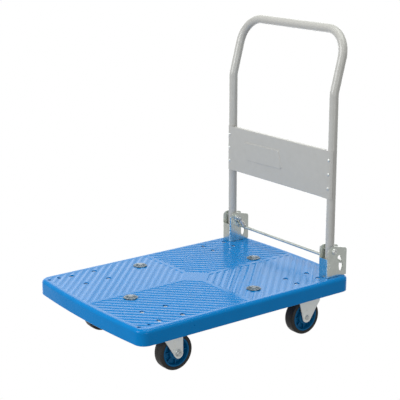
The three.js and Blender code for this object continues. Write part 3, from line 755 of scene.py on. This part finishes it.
def cheek_outline(low, high):
    """A high round front corner and a lower rear one, joined by the line that touches both."""
    front = Vector((low.y + CHEEK_FRONT_RADIUS, high.z - CHEEK_FRONT_RADIUS))
    rear = Vector((high.y - CHEEK_REAR_RADIUS, DECK_TOP + CHEEK_REAR_HEIGHT - CHEEK_REAR_RADIUS))
    run = rear - front
    touch = math.degrees(
        math.atan2(run.y, run.x) + math.acos((CHEEK_FRONT_RADIUS - CHEEK_REAR_RADIUS) / run.length)
    )
    foot = [(low.y, low.z), (high.y, low.z)]
    rear_corner = arc(rear, CHEEK_REAR_RADIUS, 0, touch, 10)
    return foot + rear_corner + arc(front, CHEEK_FRONT_RADIUS, touch, 180, 14)


def dimple(x, y, z):
    """A small stamped dome that faces +X."""
    dome = lathe([(0, -0.6), (2.4, -0.6), (2.4, 0.05), (1.5, 0.6), (0, 0.75)], 20)
    return moved(turned_to(dome, (1, 0, 0)), x, y, z)


def bracket(name, side):
    """A folded channel: two cheeks, a front wall and a floor."""
    low, high = node_box(f"bracket_{name}")
    inner = min(abs(low.x), abs(high.x))
    outer = max(abs(low.x), abs(high.x))
    bend = 4.5
    plan = [(inner, high.y, 0), (inner, low.y, bend), (outer, low.y, bend), (outer, high.y, 0)]
    channel = prism(rounded(plan, 9), low.z, high.z)
    cheek = side_prism(cheek_outline(low, high), inner - 1, outer + 1)
    channel = combined("INTERSECT", channel, cheek)
    sheet = BRACKET_SHEET
    hollow_plan = [
        (inner + sheet, high.y + 5, 0), (inner + sheet, low.y + sheet, bend - sheet),
        (outer - sheet, low.y + sheet, bend - sheet), (outer - sheet, high.y + 5, 0),
    ]
    hollow = prism(rounded(hollow_plan, 9), low.z + sheet, high.z + 5)
    wall_top = DECK_TOP + BRACKET_WALL
    opening = block((inner + sheet, low.y - 5, wall_top), (outer - sheet, low.y + 30, high.z + 5))
    channel = without(channel, hollow, opening)
    holes = lock_slots(inner - 1, outer + 1)
    holes.append(cross_bar(PIVOT_RADIUS + 0.4, inner - 1, outer + 1, PIVOT.y, PIVOT.z))
    for _, x, y in bolt_places("right"):
        holes.append(moved(cylinder(3.4, low.z - 1, low.z + 6), abs(x), y))
    channel = bevelled(without(channel, *holes), 0.45, 2)
    dimples = [dimple(outer, DIMPLES["y"], DECK_TOP + height) for height in DIMPLES["heights"]]
    channel = mirrored(union(channel, *dimples), side)
    made(f"bracket_channel_{name}", channel, "deck", "zinc_sheet", f"bracket_{name}", smooth_angle=12)


def bracket_bolts(name):
    head = 5.5
    for node, x, y in bolt_places(name):
        low, high = node_box(node)
        seat = high.z - 3.4
        bolt = lathe([
            (0, low.z), (2.6, low.z), (3, low.z + 0.6), (3, seat), (head, seat), (head, seat + 1.1),
            (head - 0.6, seat + 2.3), (head - 2, seat + 3.1), (0, seat + 3.4),
        ], 32)
        socket = prism(arc((0, 0), 2.3, 0, 300, 5), seat + 1.2, seat + 5)
        bolt = without(bolt, socket)
        made(f"{node}_screw", moved(bolt, x, y), "deck", "zinc_fastener", node)


def pivot_bolts(name, side):
    outer = CHEEK_HALF + PLAY
    tail = -(CHEEK_HALF + 19)
    head = 8.6
    profile = [
        (0, tail), (3.2, tail), (PIVOT_RADIUS, tail + 0.8), (PIVOT_RADIUS, outer),
        (head, outer), (head, outer + 1.2), (head - 0.5, outer + 2.2),
        (head - 2, outer + 3.9), (head - 4, outer + 4.8),
        (3.2, outer + 5.0), (2.6, outer + 4.2), (0, outer + 3.8),
    ]
    bolt = moved(turned_to(lathe(profile, 48), (1, 0, 0)), HANDLE_HALF, PIVOT.y, PIVOT.z)
    made(f"pivot_screw_{name}", mirrored(bolt, side), "deck", "zinc_fastener", f"pivot_bolt_{name}")
    nut = turned_to(hexagon(13, -outer - 6, -outer, bore=PIVOT_RADIUS + 0.05), (1, 0, 0))
    nut = moved(nut, HANDLE_HALF, PIVOT.y, PIVOT.z)
    made(f"pivot_hexagon_{name}", mirrored(nut, side), "deck", "zinc_fastener", f"pivot_nut_{name}")


def lock_bar():
    low, high = node_box("lock_rod")
    chamfer = 0.9
    radius = ROD_RADIUS
    profile = [
        (0, low.x), (radius - chamfer, low.x), (radius, low.x + chamfer), (radius, high.x - chamfer),
        (radius - chamfer, high.x), (0, high.x),
    ]
    bar = moved(turned_to(lathe(profile, 40), (1, 0, 0)), 0, ROD.y, ROD.z)
    made("lock_bar", bar, "lock_rod", "zinc_bar", "lock_rod")


def lock_spring(name):
    """A close-wound pull spring with a hook round the pivot screw and one round the lock bar."""
    wire = 0.8
    hook_play = 0.5
    hook_turn = 300
    hook_steps = 21
    coil_steps = 16
    lead = 0.6
    coil_radius = 4.7
    pitch = 2 * wire + 0.06
    x = node_centre(f"lock_spring_{name}").x
    pivot = Vector((x, PIVOT.y, PIVOT.z))
    rod = Vector((x, ROD.y, ROD.z))
    along = (rod - pivot).normalized()
    across = along.cross(Vector((1, 0, 0)))
    aside = Vector((1, 0, 0))
    upper_hook = PIVOT_RADIUS + hook_play + wire
    lower_hook = ROD_RADIUS + hook_play + wire
    points = []
    for step in range(hook_steps + 1):
        angle = math.radians(hook_turn * (1 - step / hook_steps))
        points.append(pivot + (along * math.cos(angle) + across * math.sin(angle)) * upper_hook)
    start = upper_hook + lead
    end = (rod - pivot).length - lower_hook - lead
    turns = round((end - start) / pitch)
    steps = turns * coil_steps
    for step in range(1, steps):
        share = step / steps
        growth = min(share * turns * 2, (1 - share) * turns * 2, 1)
        angle = 2 * math.pi * turns * share
        spoke = (aside * math.cos(angle) + across * math.sin(angle)) * coil_radius * growth
        points.append(pivot + along * (start + (end - start) * share) + spoke)
    for step in range(hook_steps + 1):
        angle = math.radians(180 - hook_turn * step / hook_steps)
        points.append(rod + (along * math.cos(angle) + across * math.sin(angle)) * lower_hook)
    spring = piece(f"pull_spring_{name}", sweep(points, wire, 8), 60)
    spring.data.materials.append(LOOKS["spring_steel"])
    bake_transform(spring)
    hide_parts(f"lock_spring_{name}")


# ---- Handle ----
TUBE_RADIUS = 12.5
TUBE_BORE = 11
LEAN = math.radians(15)
BEND_HEIGHT = 671
BEND_RADIUS = 45
HANDLE_TOP = 835
HANDLE_CORNER = 74
TUBE_FOOT = PIVOT.z - 30
PANEL_FIELD = ((-146, 478), (9, 481), (25, 427), (-131, 425))


def handle_path():
    """The handle's centreline, from the foot of the +X leg over the top to the foot of the -X leg."""
    bend_start = BEND_HEIGHT - BEND_RADIUS * math.tan(LEAN / 2)
    leg_steps = 4
    half = []
    for step in range(leg_steps):
        height = TUBE_FOOT + (bend_start - TUBE_FOOT) * step / leg_steps
        half.append(Vector((HANDLE_HALF, PIVOT.y, height)))
    bend_steps = 8
    for step in range(bend_steps + 1):
        angle = LEAN * step / bend_steps
        y = PIVOT.y + BEND_RADIUS * (1 - math.cos(angle))
        half.append(Vector((HANDLE_HALF, y, bend_start + BEND_RADIUS * math.sin(angle))))
    slope = Vector((0, math.sin(LEAN), math.cos(LEAN)))
    inwards = Vector((-1, 0, 0))
    top_y = PIVOT.y + (HANDLE_TOP - BEND_HEIGHT) * math.tan(LEAN)
    corner = Vector((HANDLE_HALF, top_y, HANDLE_TOP))
    centre = corner + (inwards - slope) * HANDLE_CORNER
    corner_steps = 20
    for step in range(corner_steps + 1):
        angle = math.pi / 2 * step / corner_steps
        half.append(centre + (slope * math.sin(angle) - inwards * math.cos(angle)) * HANDLE_CORNER)
    return half + [Vector((-point.x, point.y, point.z)) for point in reversed(half)]


def hollow_sweep(points, radius, bore, sides=40):
    """A round tube along a path, open at both ends."""
    outside = sweep(points, radius, sides)
    first = points[0] + (points[0] - points[1]).normalized() * 2
    last = points[-1] + (points[-1] - points[-2]).normalized() * 2
    return without(outside, sweep([first, *points, last], bore, sides // 2))


def handle_tube():
    reach = TUBE_RADIUS + 2.5
    tube = hollow_sweep(handle_path(), TUBE_RADIUS, TUBE_BORE)
    holes = []
    for _, side in SIDES:
        middle = side * HANDLE_HALF
        holes.append(cross_bar(PIVOT_RADIUS + PLAY, middle - reach, middle + reach, PIVOT.y, PIVOT.z, 24))
    made("handle_bent_tube", without(tube, *holes), "handle", "grey_paint", "handle_tube", smooth_angle=40)


def tube_plugs(name, side):
    cap = TUBE_RADIUS - 0.4
    collar = TUBE_FOOT - 0.1
    profile = [
        (0, TUBE_FOOT - 2), (TUBE_RADIUS - 2.2, TUBE_FOOT - 2), (TUBE_RADIUS - 1, TUBE_FOOT - 1.6),
        (cap, TUBE_FOOT - 0.9), (cap, collar), (TUBE_BORE - 0.4, collar),
        (TUBE_BORE - 0.8, TUBE_FOOT + 12), (0, TUBE_FOOT + 12),
    ]
    plug = moved(lathe(profile, 40), side * HANDLE_HALF, PIVOT.y)
    made(f"tube_cap_{name}", plug, "handle", "plug_plastic", f"tube_plug_{name}")


def stamped_field(front):
    """A closed boss with sloping, rounded walls that stands out of the panel's front face."""
    corner = 7
    raised = 1.7
    slope = 1.5
    steps = ((0, front + 0.4), (0, front), (slope * 0.4, front - raised * 0.75), (slope, front - raised))
    centre = Vector((sum(x for x, _ in PANEL_FIELD) / 4, sum(z for _, z in PANEL_FIELD) / 4))
    outlines = []
    for inset, y in steps:
        shrunk = []
        for x, z in PANEL_FIELD:
            away = Vector((x, z)) - centre
            shrunk.append((x - math.copysign(inset, away.x), z - math.copysign(inset, away.y), corner))
        outlines.append([(x, y, z) for x, z in rounded(shrunk, 6)])
    return skin(outlines)


def sign_panel():
    """A flanged sheet that curls round the front of both legs, with a shallow stamped field."""
    low, high = node_box("handle_panel")
    sheet = 1.2
    flange = 10
    flange_half = 196
    bend = 2.6
    inner = TUBE_RADIUS + 0.3
    outer = inner + sheet
    front = PIVOT.y - outer
    back = front + flange
    overlap = 4
    wrap = 55
    leg = (HANDLE_HALF, PIVOT.y)
    curl = arc(leg, outer, -90, -90 + wrap, 12) + arc(leg, inner, -90 + wrap, -90, 12)
    plan = [(flange_half - overlap, front), *curl, (flange_half - overlap, front + sheet)]
    web = [
        (back, low.z, 0), (front, low.z, bend), (front, high.z, bend), (back, high.z, 0),
        (back, high.z - sheet, 0), (front + sheet, high.z - sheet, bend - sheet),
        (front + sheet, low.z + sheet, bend - sheet), (back, low.z + sheet, 0),
    ]
    middle = side_prism(rounded(web, 10), -flange_half, flange_half)
    ends = [mirrored(prism(plan, low.z, high.z), side) for _, side in SIDES]
    panel = union(middle, *ends)
    panel = union(panel, stamped_field(front))
    made("sign_panel", panel, "handle", "grey_paint", "handle_panel", smooth_angle=10)


def panel_rivets(name, side):
    for level in ("low", "middle", "high"):
        node = f"panel_rivet_{name}_{level}"
        centre = node_centre(node)
        seat = TUBE_RADIUS + 1.5
        rivet = lathe([
            (0, TUBE_RADIUS - 2), (2.4, TUBE_RADIUS - 2), (2.4, seat), (4.5, seat), (4.4, seat + 0.5),
            (3.6, seat + 1.3), (2.2, seat + 1.75), (1.3, seat + 1.8), (0.9, seat + 1.2), (0, seat + 1.2),
        ], 28)
        rivet = moved(turned_to(rivet, (0, -1, 0)), side * HANDLE_HALF, PIVOT.y, centre.z)
        made(f"blind_rivet_{name}_{level}", rivet, "handle", "zinc_fastener", node)


# ---- Wheels: built about X, centred on the wheel's middle ----
WHEEL_RADIUS = 50
TYRE_INNER = 40.3
RIM_OUTER = 39.7
BOSS_HALF = 18.6


def tyre():
    half = 16
    inner = TYRE_INNER
    tread = [
        (inner, -half + 1.2), (inner + 1.2, -half + 0.4), (inner + 2.4, -half), (45.6, -half),
        (46.9, -half + 0.3), (48.2, -half + 1.2), (49.1, -half + 2.6), (49.6, -half + 4.4),
        (49.85, -half + 7), (WHEEL_RADIUS, -half + 10.5), (WHEEL_RADIUS, -0.7), (49.7, -0.25),
    ]
    profile = tread + [(radius, -height) for radius, height in reversed(tread)]
    return turned_to(lathe(profile, 96, closed=True), (1, 0, 0))


def hub():
    half = 15
    profile = [
        (7.3, -BOSS_HALF), (13.8, -BOSS_HALF), (14.6, -BOSS_HALF + 0.8), (15.2, -14.4), (18.6, -13.8),
        (19.6, -12.8), (20.8, -4), (33, -4), (34.6, -half + 1.4), (35.6, -half), (39.1, -half),
        (RIM_OUTER, -half + 0.8),
    ]
    profile = profile + [(radius, -height) for radius, height in reversed(profile)]
    body = lathe(profile, 72, closed=True)
    ribs = []
    rib_count = 8
    for turn in range(rib_count):
        rib = block((14, -1.4, -9), (34.6, 1.4, 9))
        rib.transform(Matrix.Rotation(2 * math.pi * turn / rib_count, 4, "Z"))
        ribs.append(rib)
    return turned_to(union(body, *ribs), (1, 0, 0))


def bush():
    half = BOSS_HALF + 0.1
    profile = [
        (4.5, -half), (6.6, -half), (6.9, -half + 0.4), (6.9, half - 0.4), (6.6, half), (4.5, half),
    ]
    return turned_to(lathe(profile, 36, closed=True), (1, 0, 0))


TEMPLATES = {}


def copy_of(build):
    """A repeated shape is built once and copied."""
    if build not in TEMPLATES:
        TEMPLATES[build] = build()
    return TEMPLATES[build].copy()


def make_wheel(end, name):
    centre = node_centre(f"{end}_tyre_{name}")
    body = f"{end}_wheel_{name}"
    for part, build, slot in (
        ("tyre", tyre, "tyre_rubber"), ("hub", hub, "hub_plastic"), ("bush", bush, "bush_plastic"),
    ):
        shape = moved(copy_of(build), *centre)
        made(f"{end}_wheel_{part}_{name}", shape, body, slot, f"{end}_{part}_{name}")


# ---- Casters: built about the axle's middle, so heights count from there ----
LEG_OUTER = LEG_INNER + FORK_SHEET
NUT_SEAT = LEG_OUTER + PLAY
CROWN_TOP = 117.5 - WHEEL_RADIUS
PLATE_TOP = 127.7 - WHEEL_RADIUS
PLATE_SHEET = 2.5
CROWN_SHEET = 3
KINGPIN_HOLE = 6.3


def swivel_fork():
    """An inverted U of sheet, with a round crown about the kingpin and a groove down each leg."""
    crown_bottom = CROWN_TOP - CROWN_SHEET
    nose = -TRAIL - 26
    bend = 5.5
    inner_bend = bend - FORK_SHEET
    outer = [
        (-LEG_OUTER, -30, 0), (LEG_OUTER, -30, 0),
        (LEG_OUTER, CROWN_TOP, bend), (-LEG_OUTER, CROWN_TOP, bend),
    ]
    inner = [
        (-LEG_INNER, -40, 0), (LEG_INNER, -40, 0),
        (LEG_INNER, crown_bottom, inner_bend), (-LEG_INNER, crown_bottom, inner_bend),
    ]
    channel = without(
        front_prism(rounded(outer, 9), nose - 1, FORK_TIP + 1),
        front_prism(rounded(inner, 9), nose - 5, FORK_TIP + 5),
    )
    tip_centre = (2.6, -3)
    tip_radius = 13
    tip = [(y, z, 0) for y, z in arc(tip_centre, tip_radius, 211, 360, 18)]
    rear_edge = tip_centre[0] + tip_radius
    side_outline = rounded([
        (rear_edge, 10, 0), (rear_edge, CROWN_TOP + 1, 0), (nose, CROWN_TOP + 1, 0),
        (nose, crown_bottom - 1, 4), (-39.5, 39, 12), *tip,
    ], 8)
    fork = combined("INTERSECT", channel, side_prism(side_outline, -LEG_OUTER - 1, LEG_OUTER + 1))
    collar = lathe([
        (0, crown_bottom), (28, crown_bottom), (29, crown_bottom + 1), (29, CROWN_TOP - 1),
        (28, CROWN_TOP), (0, CROWN_TOP),
    ], 56)
    fork = union(fork, moved(collar, 0, -TRAIL))
    swages = [
        moved(cylinder(2.2, -6, CROWN_TOP - 6, 20), across * (LEG_OUTER + 1.0), -11.5) for across in (-1, 1)
    ]
    fork = without(
        fork,
        moved(cylinder(KINGPIN_HOLE, crown_bottom - 2, CROWN_TOP + 2), 0, -TRAIL),
        cross_bar(AXLE_RADIUS + 0.3, -LEG_OUTER - 2, LEG_OUTER + 2, 0, 0),
        *swages,
    )
    return bevelled(fork, 0.5, 2)


def screw_plate(pattern):
    corner = 7
    low = PLATE_TOP - PLATE_SHEET
    half_x = pattern["plate"][0] / 2
    half_y = pattern["plate"][1] / 2
    outline = rounded([
        (-half_x, -half_y, corner), (half_x, -half_y, corner), (half_x, half_y, corner),
        (-half_x, half_y, corner),
    ], 8)
    holes = []
    for across in (-1, 1):
        for along in (-1, 1):
            hole = cylinder(SCREW_HOLE, low - 1, PLATE_TOP + 1)
            holes.append(moved(hole, across * pattern["across"] / 2, along * pattern["along"] / 2))
    return without(prism(outline, low, PLATE_TOP), together(*holes))


def swivel_plate():
    hole = cylinder(KINGPIN_HOLE, PLATE_TOP - PLATE_SHEET - 1, PLATE_TOP + 1)
    return bevelled(without(screw_plate(FRONT_SCREWS), hole), 0.4, 2)


def ball_race():
    top = PLATE_TOP - PLATE_SHEET - PLAY
    bottom = CROWN_TOP + PLAY
    return lathe([
        (14, bottom), (24, bottom), (26.5, bottom + 0.8), (28, bottom + 2.6), (28, top - 1.6),
        (27.2, top - 0.5), (25, top), (14, top),
    ], 64, closed=True)


def kingpin():
    head = CROWN_TOP - CROWN_SHEET - PLAY
    return lathe([
        (0, head - 3), (6, head - 3), (8.3, head - 2.5), (9.5, head - 1.3), (9.5, head), (6, head),
        (6, PLATE_TOP - 0.5), (5.4, PLATE_TOP), (0, PLATE_TOP),
    ], 40)


def axle_bolt():
    head = hexagon(13, -NUT_SEAT - 5.2, -NUT_SEAT)
    bolt = union(head, threaded(AXLE_RADIUS, -NUT_SEAT - 1, NUT_SEAT + 10.5))
    return turned_to(bolt, (1, 0, 0))


def flanged_nut():
    seat = NUT_SEAT
    flange = lathe([
        (0, seat), (9.7, seat), (10, seat + 0.4), (10, seat + 1.1), (8, seat + 2.4), (0, seat + 2.4),
    ], 40)
    nut = union(flange, hexagon(15, seat + 0.5, seat + 8))
    bore = cylinder(AXLE_RADIUS + 0.05, seat - 1, seat + 9)
    return turned_to(without(nut, bore), (1, 0, 0))


def rigid_fork():
    """Two tapering legs under a screw plate, with a stamped ring round the axle."""
    shift = REAR_SCREWS["y"] - node_centre("rear_tyre_left").y
    leg_top = PLATE_TOP - 0.5
    rear_limit = shift + REAR_SCREWS["plate"][1] / 2
    tip = [(y, z, 0) for y, z in arc((0.5, 1), 15, 193, 326, 20)]
    outline = rounded([
        *tip, (35, 25, 30), (rear_limit, 41, 4), (rear_limit, leg_top, 0), (-30, leg_top, 0), (-25.4, 42, 10),
    ], 6)
    legs = [side_prism(outline, low, low + FORK_SHEET) for low in (-LEG_OUTER, LEG_INNER)]
    plate = moved(screw_plate(REAR_SCREWS), 0, shift)
    fork = union(plate, *legs)
    ring = lathe([(8.4, -1), (11.2, -1), (11.2, 0), (10.4, 0.7), (9.2, 0.7), (8.4, 0)], 40, closed=True)
    stamped = [
        moved(turned_to(ring.copy(), (1, 0, 0)), LEG_OUTER),
        moved(turned_to(ring, (-1, 0, 0)), -LEG_OUTER),
    ]
    fork = without(fork, cross_bar(AXLE_RADIUS + 0.3, -LEG_OUTER - 2, LEG_OUTER + 2, 0, 0))
    return union(bevelled(fork, 0.45, 2), *stamped)


def rivet_axle():
    seat = NUT_SEAT
    return turned_to(lathe([
        (0, -seat - 8), (3.3, -seat - 8), (AXLE_RADIUS, -seat - 7.3), (AXLE_RADIUS, seat),
        (7, seat), (7, seat + 1.2), (6, seat + 2.6), (3.8, seat + 3.2), (0, seat + 3.4),
    ], 40), (1, 0, 0))


def inner_nut():
    return turned_to(hexagon(13, -NUT_SEAT - 6.5, -NUT_SEAT, bore=AXLE_RADIUS + 0.05), (1, 0, 0))


def caster_piece(kind, name, side, end, part, build, body, slot, place):
    """One piece of a caster, dressed over its CAD node; sheet pieces wear a brighter, mostly non-metallic
    copy of the zinc, whose extra brightness is painted light.
    """
    shape = moved(mirrored(copy_of(build), side), *place)
    piece_name = f"{kind}_{part}_{name}"
    node = f"{end}_{part}_{name}"
    # Caster sheets take the brighter zinc copy, whose colour is painted light.
    if slot == "zinc_sheet":
        made(piece_name, shape, body, slot, node, smooth_angle=12, look="painted_light_zinc")
    else:
        made(piece_name, shape, body, slot, node)


def make_casters():
    for name, side in SIDES:
        axle = node_centre(f"front_tyre_{name}")
        above = Vector((axle.x, axle.y - TRAIL, axle.z))
        swivel = f"swivel_{name}"
        for part, build, body, slot, place in (
            ("plate", swivel_plate, "deck", "zinc_sheet", above),
            ("race", ball_race, "deck", "zinc_sheet", above),
            ("kingpin", kingpin, "deck", "zinc_fastener", above),
            ("fork", swivel_fork, swivel, "zinc_sheet", axle),
            ("axle", axle_bolt, swivel, "zinc_fastener", axle),
            ("nut", flanged_nut, swivel, "zinc_fastener", axle),
        ):
            caster_piece("swivel_caster", name, side, "front", part, build, body, slot, place)
        axle = node_centre(f"rear_tyre_{name}")
        for part, build, slot in (
            ("fork", rigid_fork, "zinc_sheet"),
            ("axle", rivet_axle, "zinc_fastener"),
            ("nut", inner_nut, "zinc_fastener"),
        ):
            caster_piece("rigid_caster", name, side, "rear", part, build, "deck", slot, axle)
        make_wheel("front", name)
        make_wheel("rear", name)


def caster_screw():
    """A pan-head screw through the deck's pad and the caster's plate."""
    seat = DECK_TOP - SCREW_RECESS_DEPTH + 0.1
    tip = WHEEL_RADIUS + CROWN_TOP + 1.2
    head = lathe([
        (0, seat), (6.4, seat), (6.4, seat + 2.2), (6, seat + 3.2), (4.6, seat + 3.9), (0, seat + 4.2),
    ], 32)
    foot = seat + 2.8
    above = seat + 7
    slots = [block((-3, -0.6, foot), (3, 0.6, above)), block((-0.6, -3, foot), (0.6, 3, above))]
    shank = lathe([(0, tip), (2.4, tip), (3, tip + 0.6), (3, seat + 0.8), (0, seat + 0.8)], 24)
    return union(without(head, *slots), shank)


def caster_nut():
    top = WHEEL_RADIUS + PLATE_TOP - PLATE_SHEET - 0.1
    return hexagon(10, top - 5, top, chamfer=0.8, bore=3.05)


def make_caster_screws():
    for index, (x, y) in enumerate(screw_places()):
        made(f"caster_screw_{index + 1}", moved(copy_of(caster_screw), x, y), "deck", "zinc_fastener")
        made(f"caster_screw_nut_{index + 1}", moved(copy_of(caster_nut), x, y), "deck", "zinc_fastener")


# ---- Light and camera ----
def add_area_light(name, place, target, size, power, colour):
    light = bpy.data.lights.new(name, "AREA")
    light.shape = "RECTANGLE"
    light.size = size
    light.size_y = size
    light.energy = power
    light.color = colour
    lamp = bpy.data.objects.new(name, light)
    lamp.location = place
    aim = Vector(target) - Vector(place)
    lamp.rotation_euler = aim.to_track_quat("-Z", "Y").to_euler()
    bpy.context.scene.collection.objects.link(lamp)


ROOM_BRIGHTNESS = 1.9
ROOM_BRIGHT_SIDE = (-0.78, 0.58, -0.2)
ROOM_SHADES = ((0.5, 0.2), (0.76, 0.24), (0.92, 1.0))
LIGHTS = (
    ("key", (-0.6, -3.2, 1.9), (0, 0, 0.35), 2.2, 93, (1, 1, 1)),
    ("fill", (3.2, -0.8, 0.6), (0, 0, 0.25), 1.4, 15, (1, 1, 1)),
    ("top", (0.4, 0.4, 3.0), (0, 0, 0.2), 2.2, 45, (0.97, 1.0, 0.95)),
)
CAMERA_PLACE = (2.4086, -1.7962, 1.1943)
CAMERA_AZIMUTH = math.radians(53.029)
CAMERA_PITCH = math.radians(14.165)
CAMERA_LENS = 103.0
CAMERA_SHIFT = -0.05


def white_studio():
    """White to the camera; the cart is lit by a room that is bright only towards ROOM_BRIGHT_SIDE."""
    world = bpy.data.worlds.new("white studio")
    bpy.context.scene.world = world
    world.use_nodes = True
    nodes = world.node_tree.nodes
    links = world.node_tree.links
    nodes.clear()
    output = nodes.new("ShaderNodeOutputWorld")
    seen = nodes.new("ShaderNodeBackground")
    seen.inputs["Color"].default_value = (1, 1, 1, 1)
    lit = nodes.new("ShaderNodeBackground")
    lit.inputs["Strength"].default_value = ROOM_BRIGHTNESS
    place = nodes.new("ShaderNodeTexCoord")
    facing = nodes.new("ShaderNodeVectorMath")
    facing.operation = "DOT_PRODUCT"
    facing.inputs[1].default_value = ROOM_BRIGHT_SIDE
    links.new(place.outputs["Generated"], facing.inputs[0])
    share = nodes.new("ShaderNodeMapRange")
    share.inputs["From Min"].default_value = -1
    links.new(facing.outputs["Value"], share.inputs["Value"])
    ramp = nodes.new("ShaderNodeValToRGB")
    links.new(share.outputs["Result"], ramp.inputs["Fac"])
    ramp.color_ramp.elements.new(0.5)
    for element, (position, shade) in zip(ramp.color_ramp.elements, ROOM_SHADES):
        element.position = position
        element.color = (shade, shade, shade, 1)
    links.new(ramp.outputs["Color"], lit.inputs["Color"])
    rays = nodes.new("ShaderNodeLightPath")
    mix = nodes.new("ShaderNodeMixShader")
    links.new(rays.outputs["Is Camera Ray"], mix.inputs["Fac"])
    links.new(lit.outputs["Background"], mix.inputs[1])
    links.new(seen.outputs["Background"], mix.inputs[2])
    links.new(mix.outputs["Shader"], output.inputs["Surface"])


def add_camera():
    camera = bpy.data.cameras.new("camera")
    camera.sensor_width = 36
    camera.lens = CAMERA_LENS
    camera.shift_y = CAMERA_SHIFT
    camera.clip_end = 50
    viewer = bpy.data.objects.new("camera", camera)
    viewer.location = CAMERA_PLACE
    viewer.rotation_euler = (math.pi / 2 - CAMERA_PITCH, 0, CAMERA_AZIMUTH)
    bpy.context.scene.collection.objects.link(viewer)
    bpy.context.scene.camera = viewer


make_deck()
make_studs()
lock_bar()
handle_tube()
sign_panel()
for side_name, side_sign in SIDES:
    bracket(side_name, side_sign)
    bracket_bolts(side_name)
    pivot_bolts(side_name, side_sign)
    lock_spring(side_name)
    tube_plugs(side_name, side_sign)
    panel_rivets(side_name, side_sign)
make_casters()
make_caster_screws()
for template in TEMPLATES.values():
    template.free()

white_studio()
for light_settings in LIGHTS:
    add_area_light(*light_settings)
add_camera()
bpy.context.scene.view_settings.view_transform = "Standard"
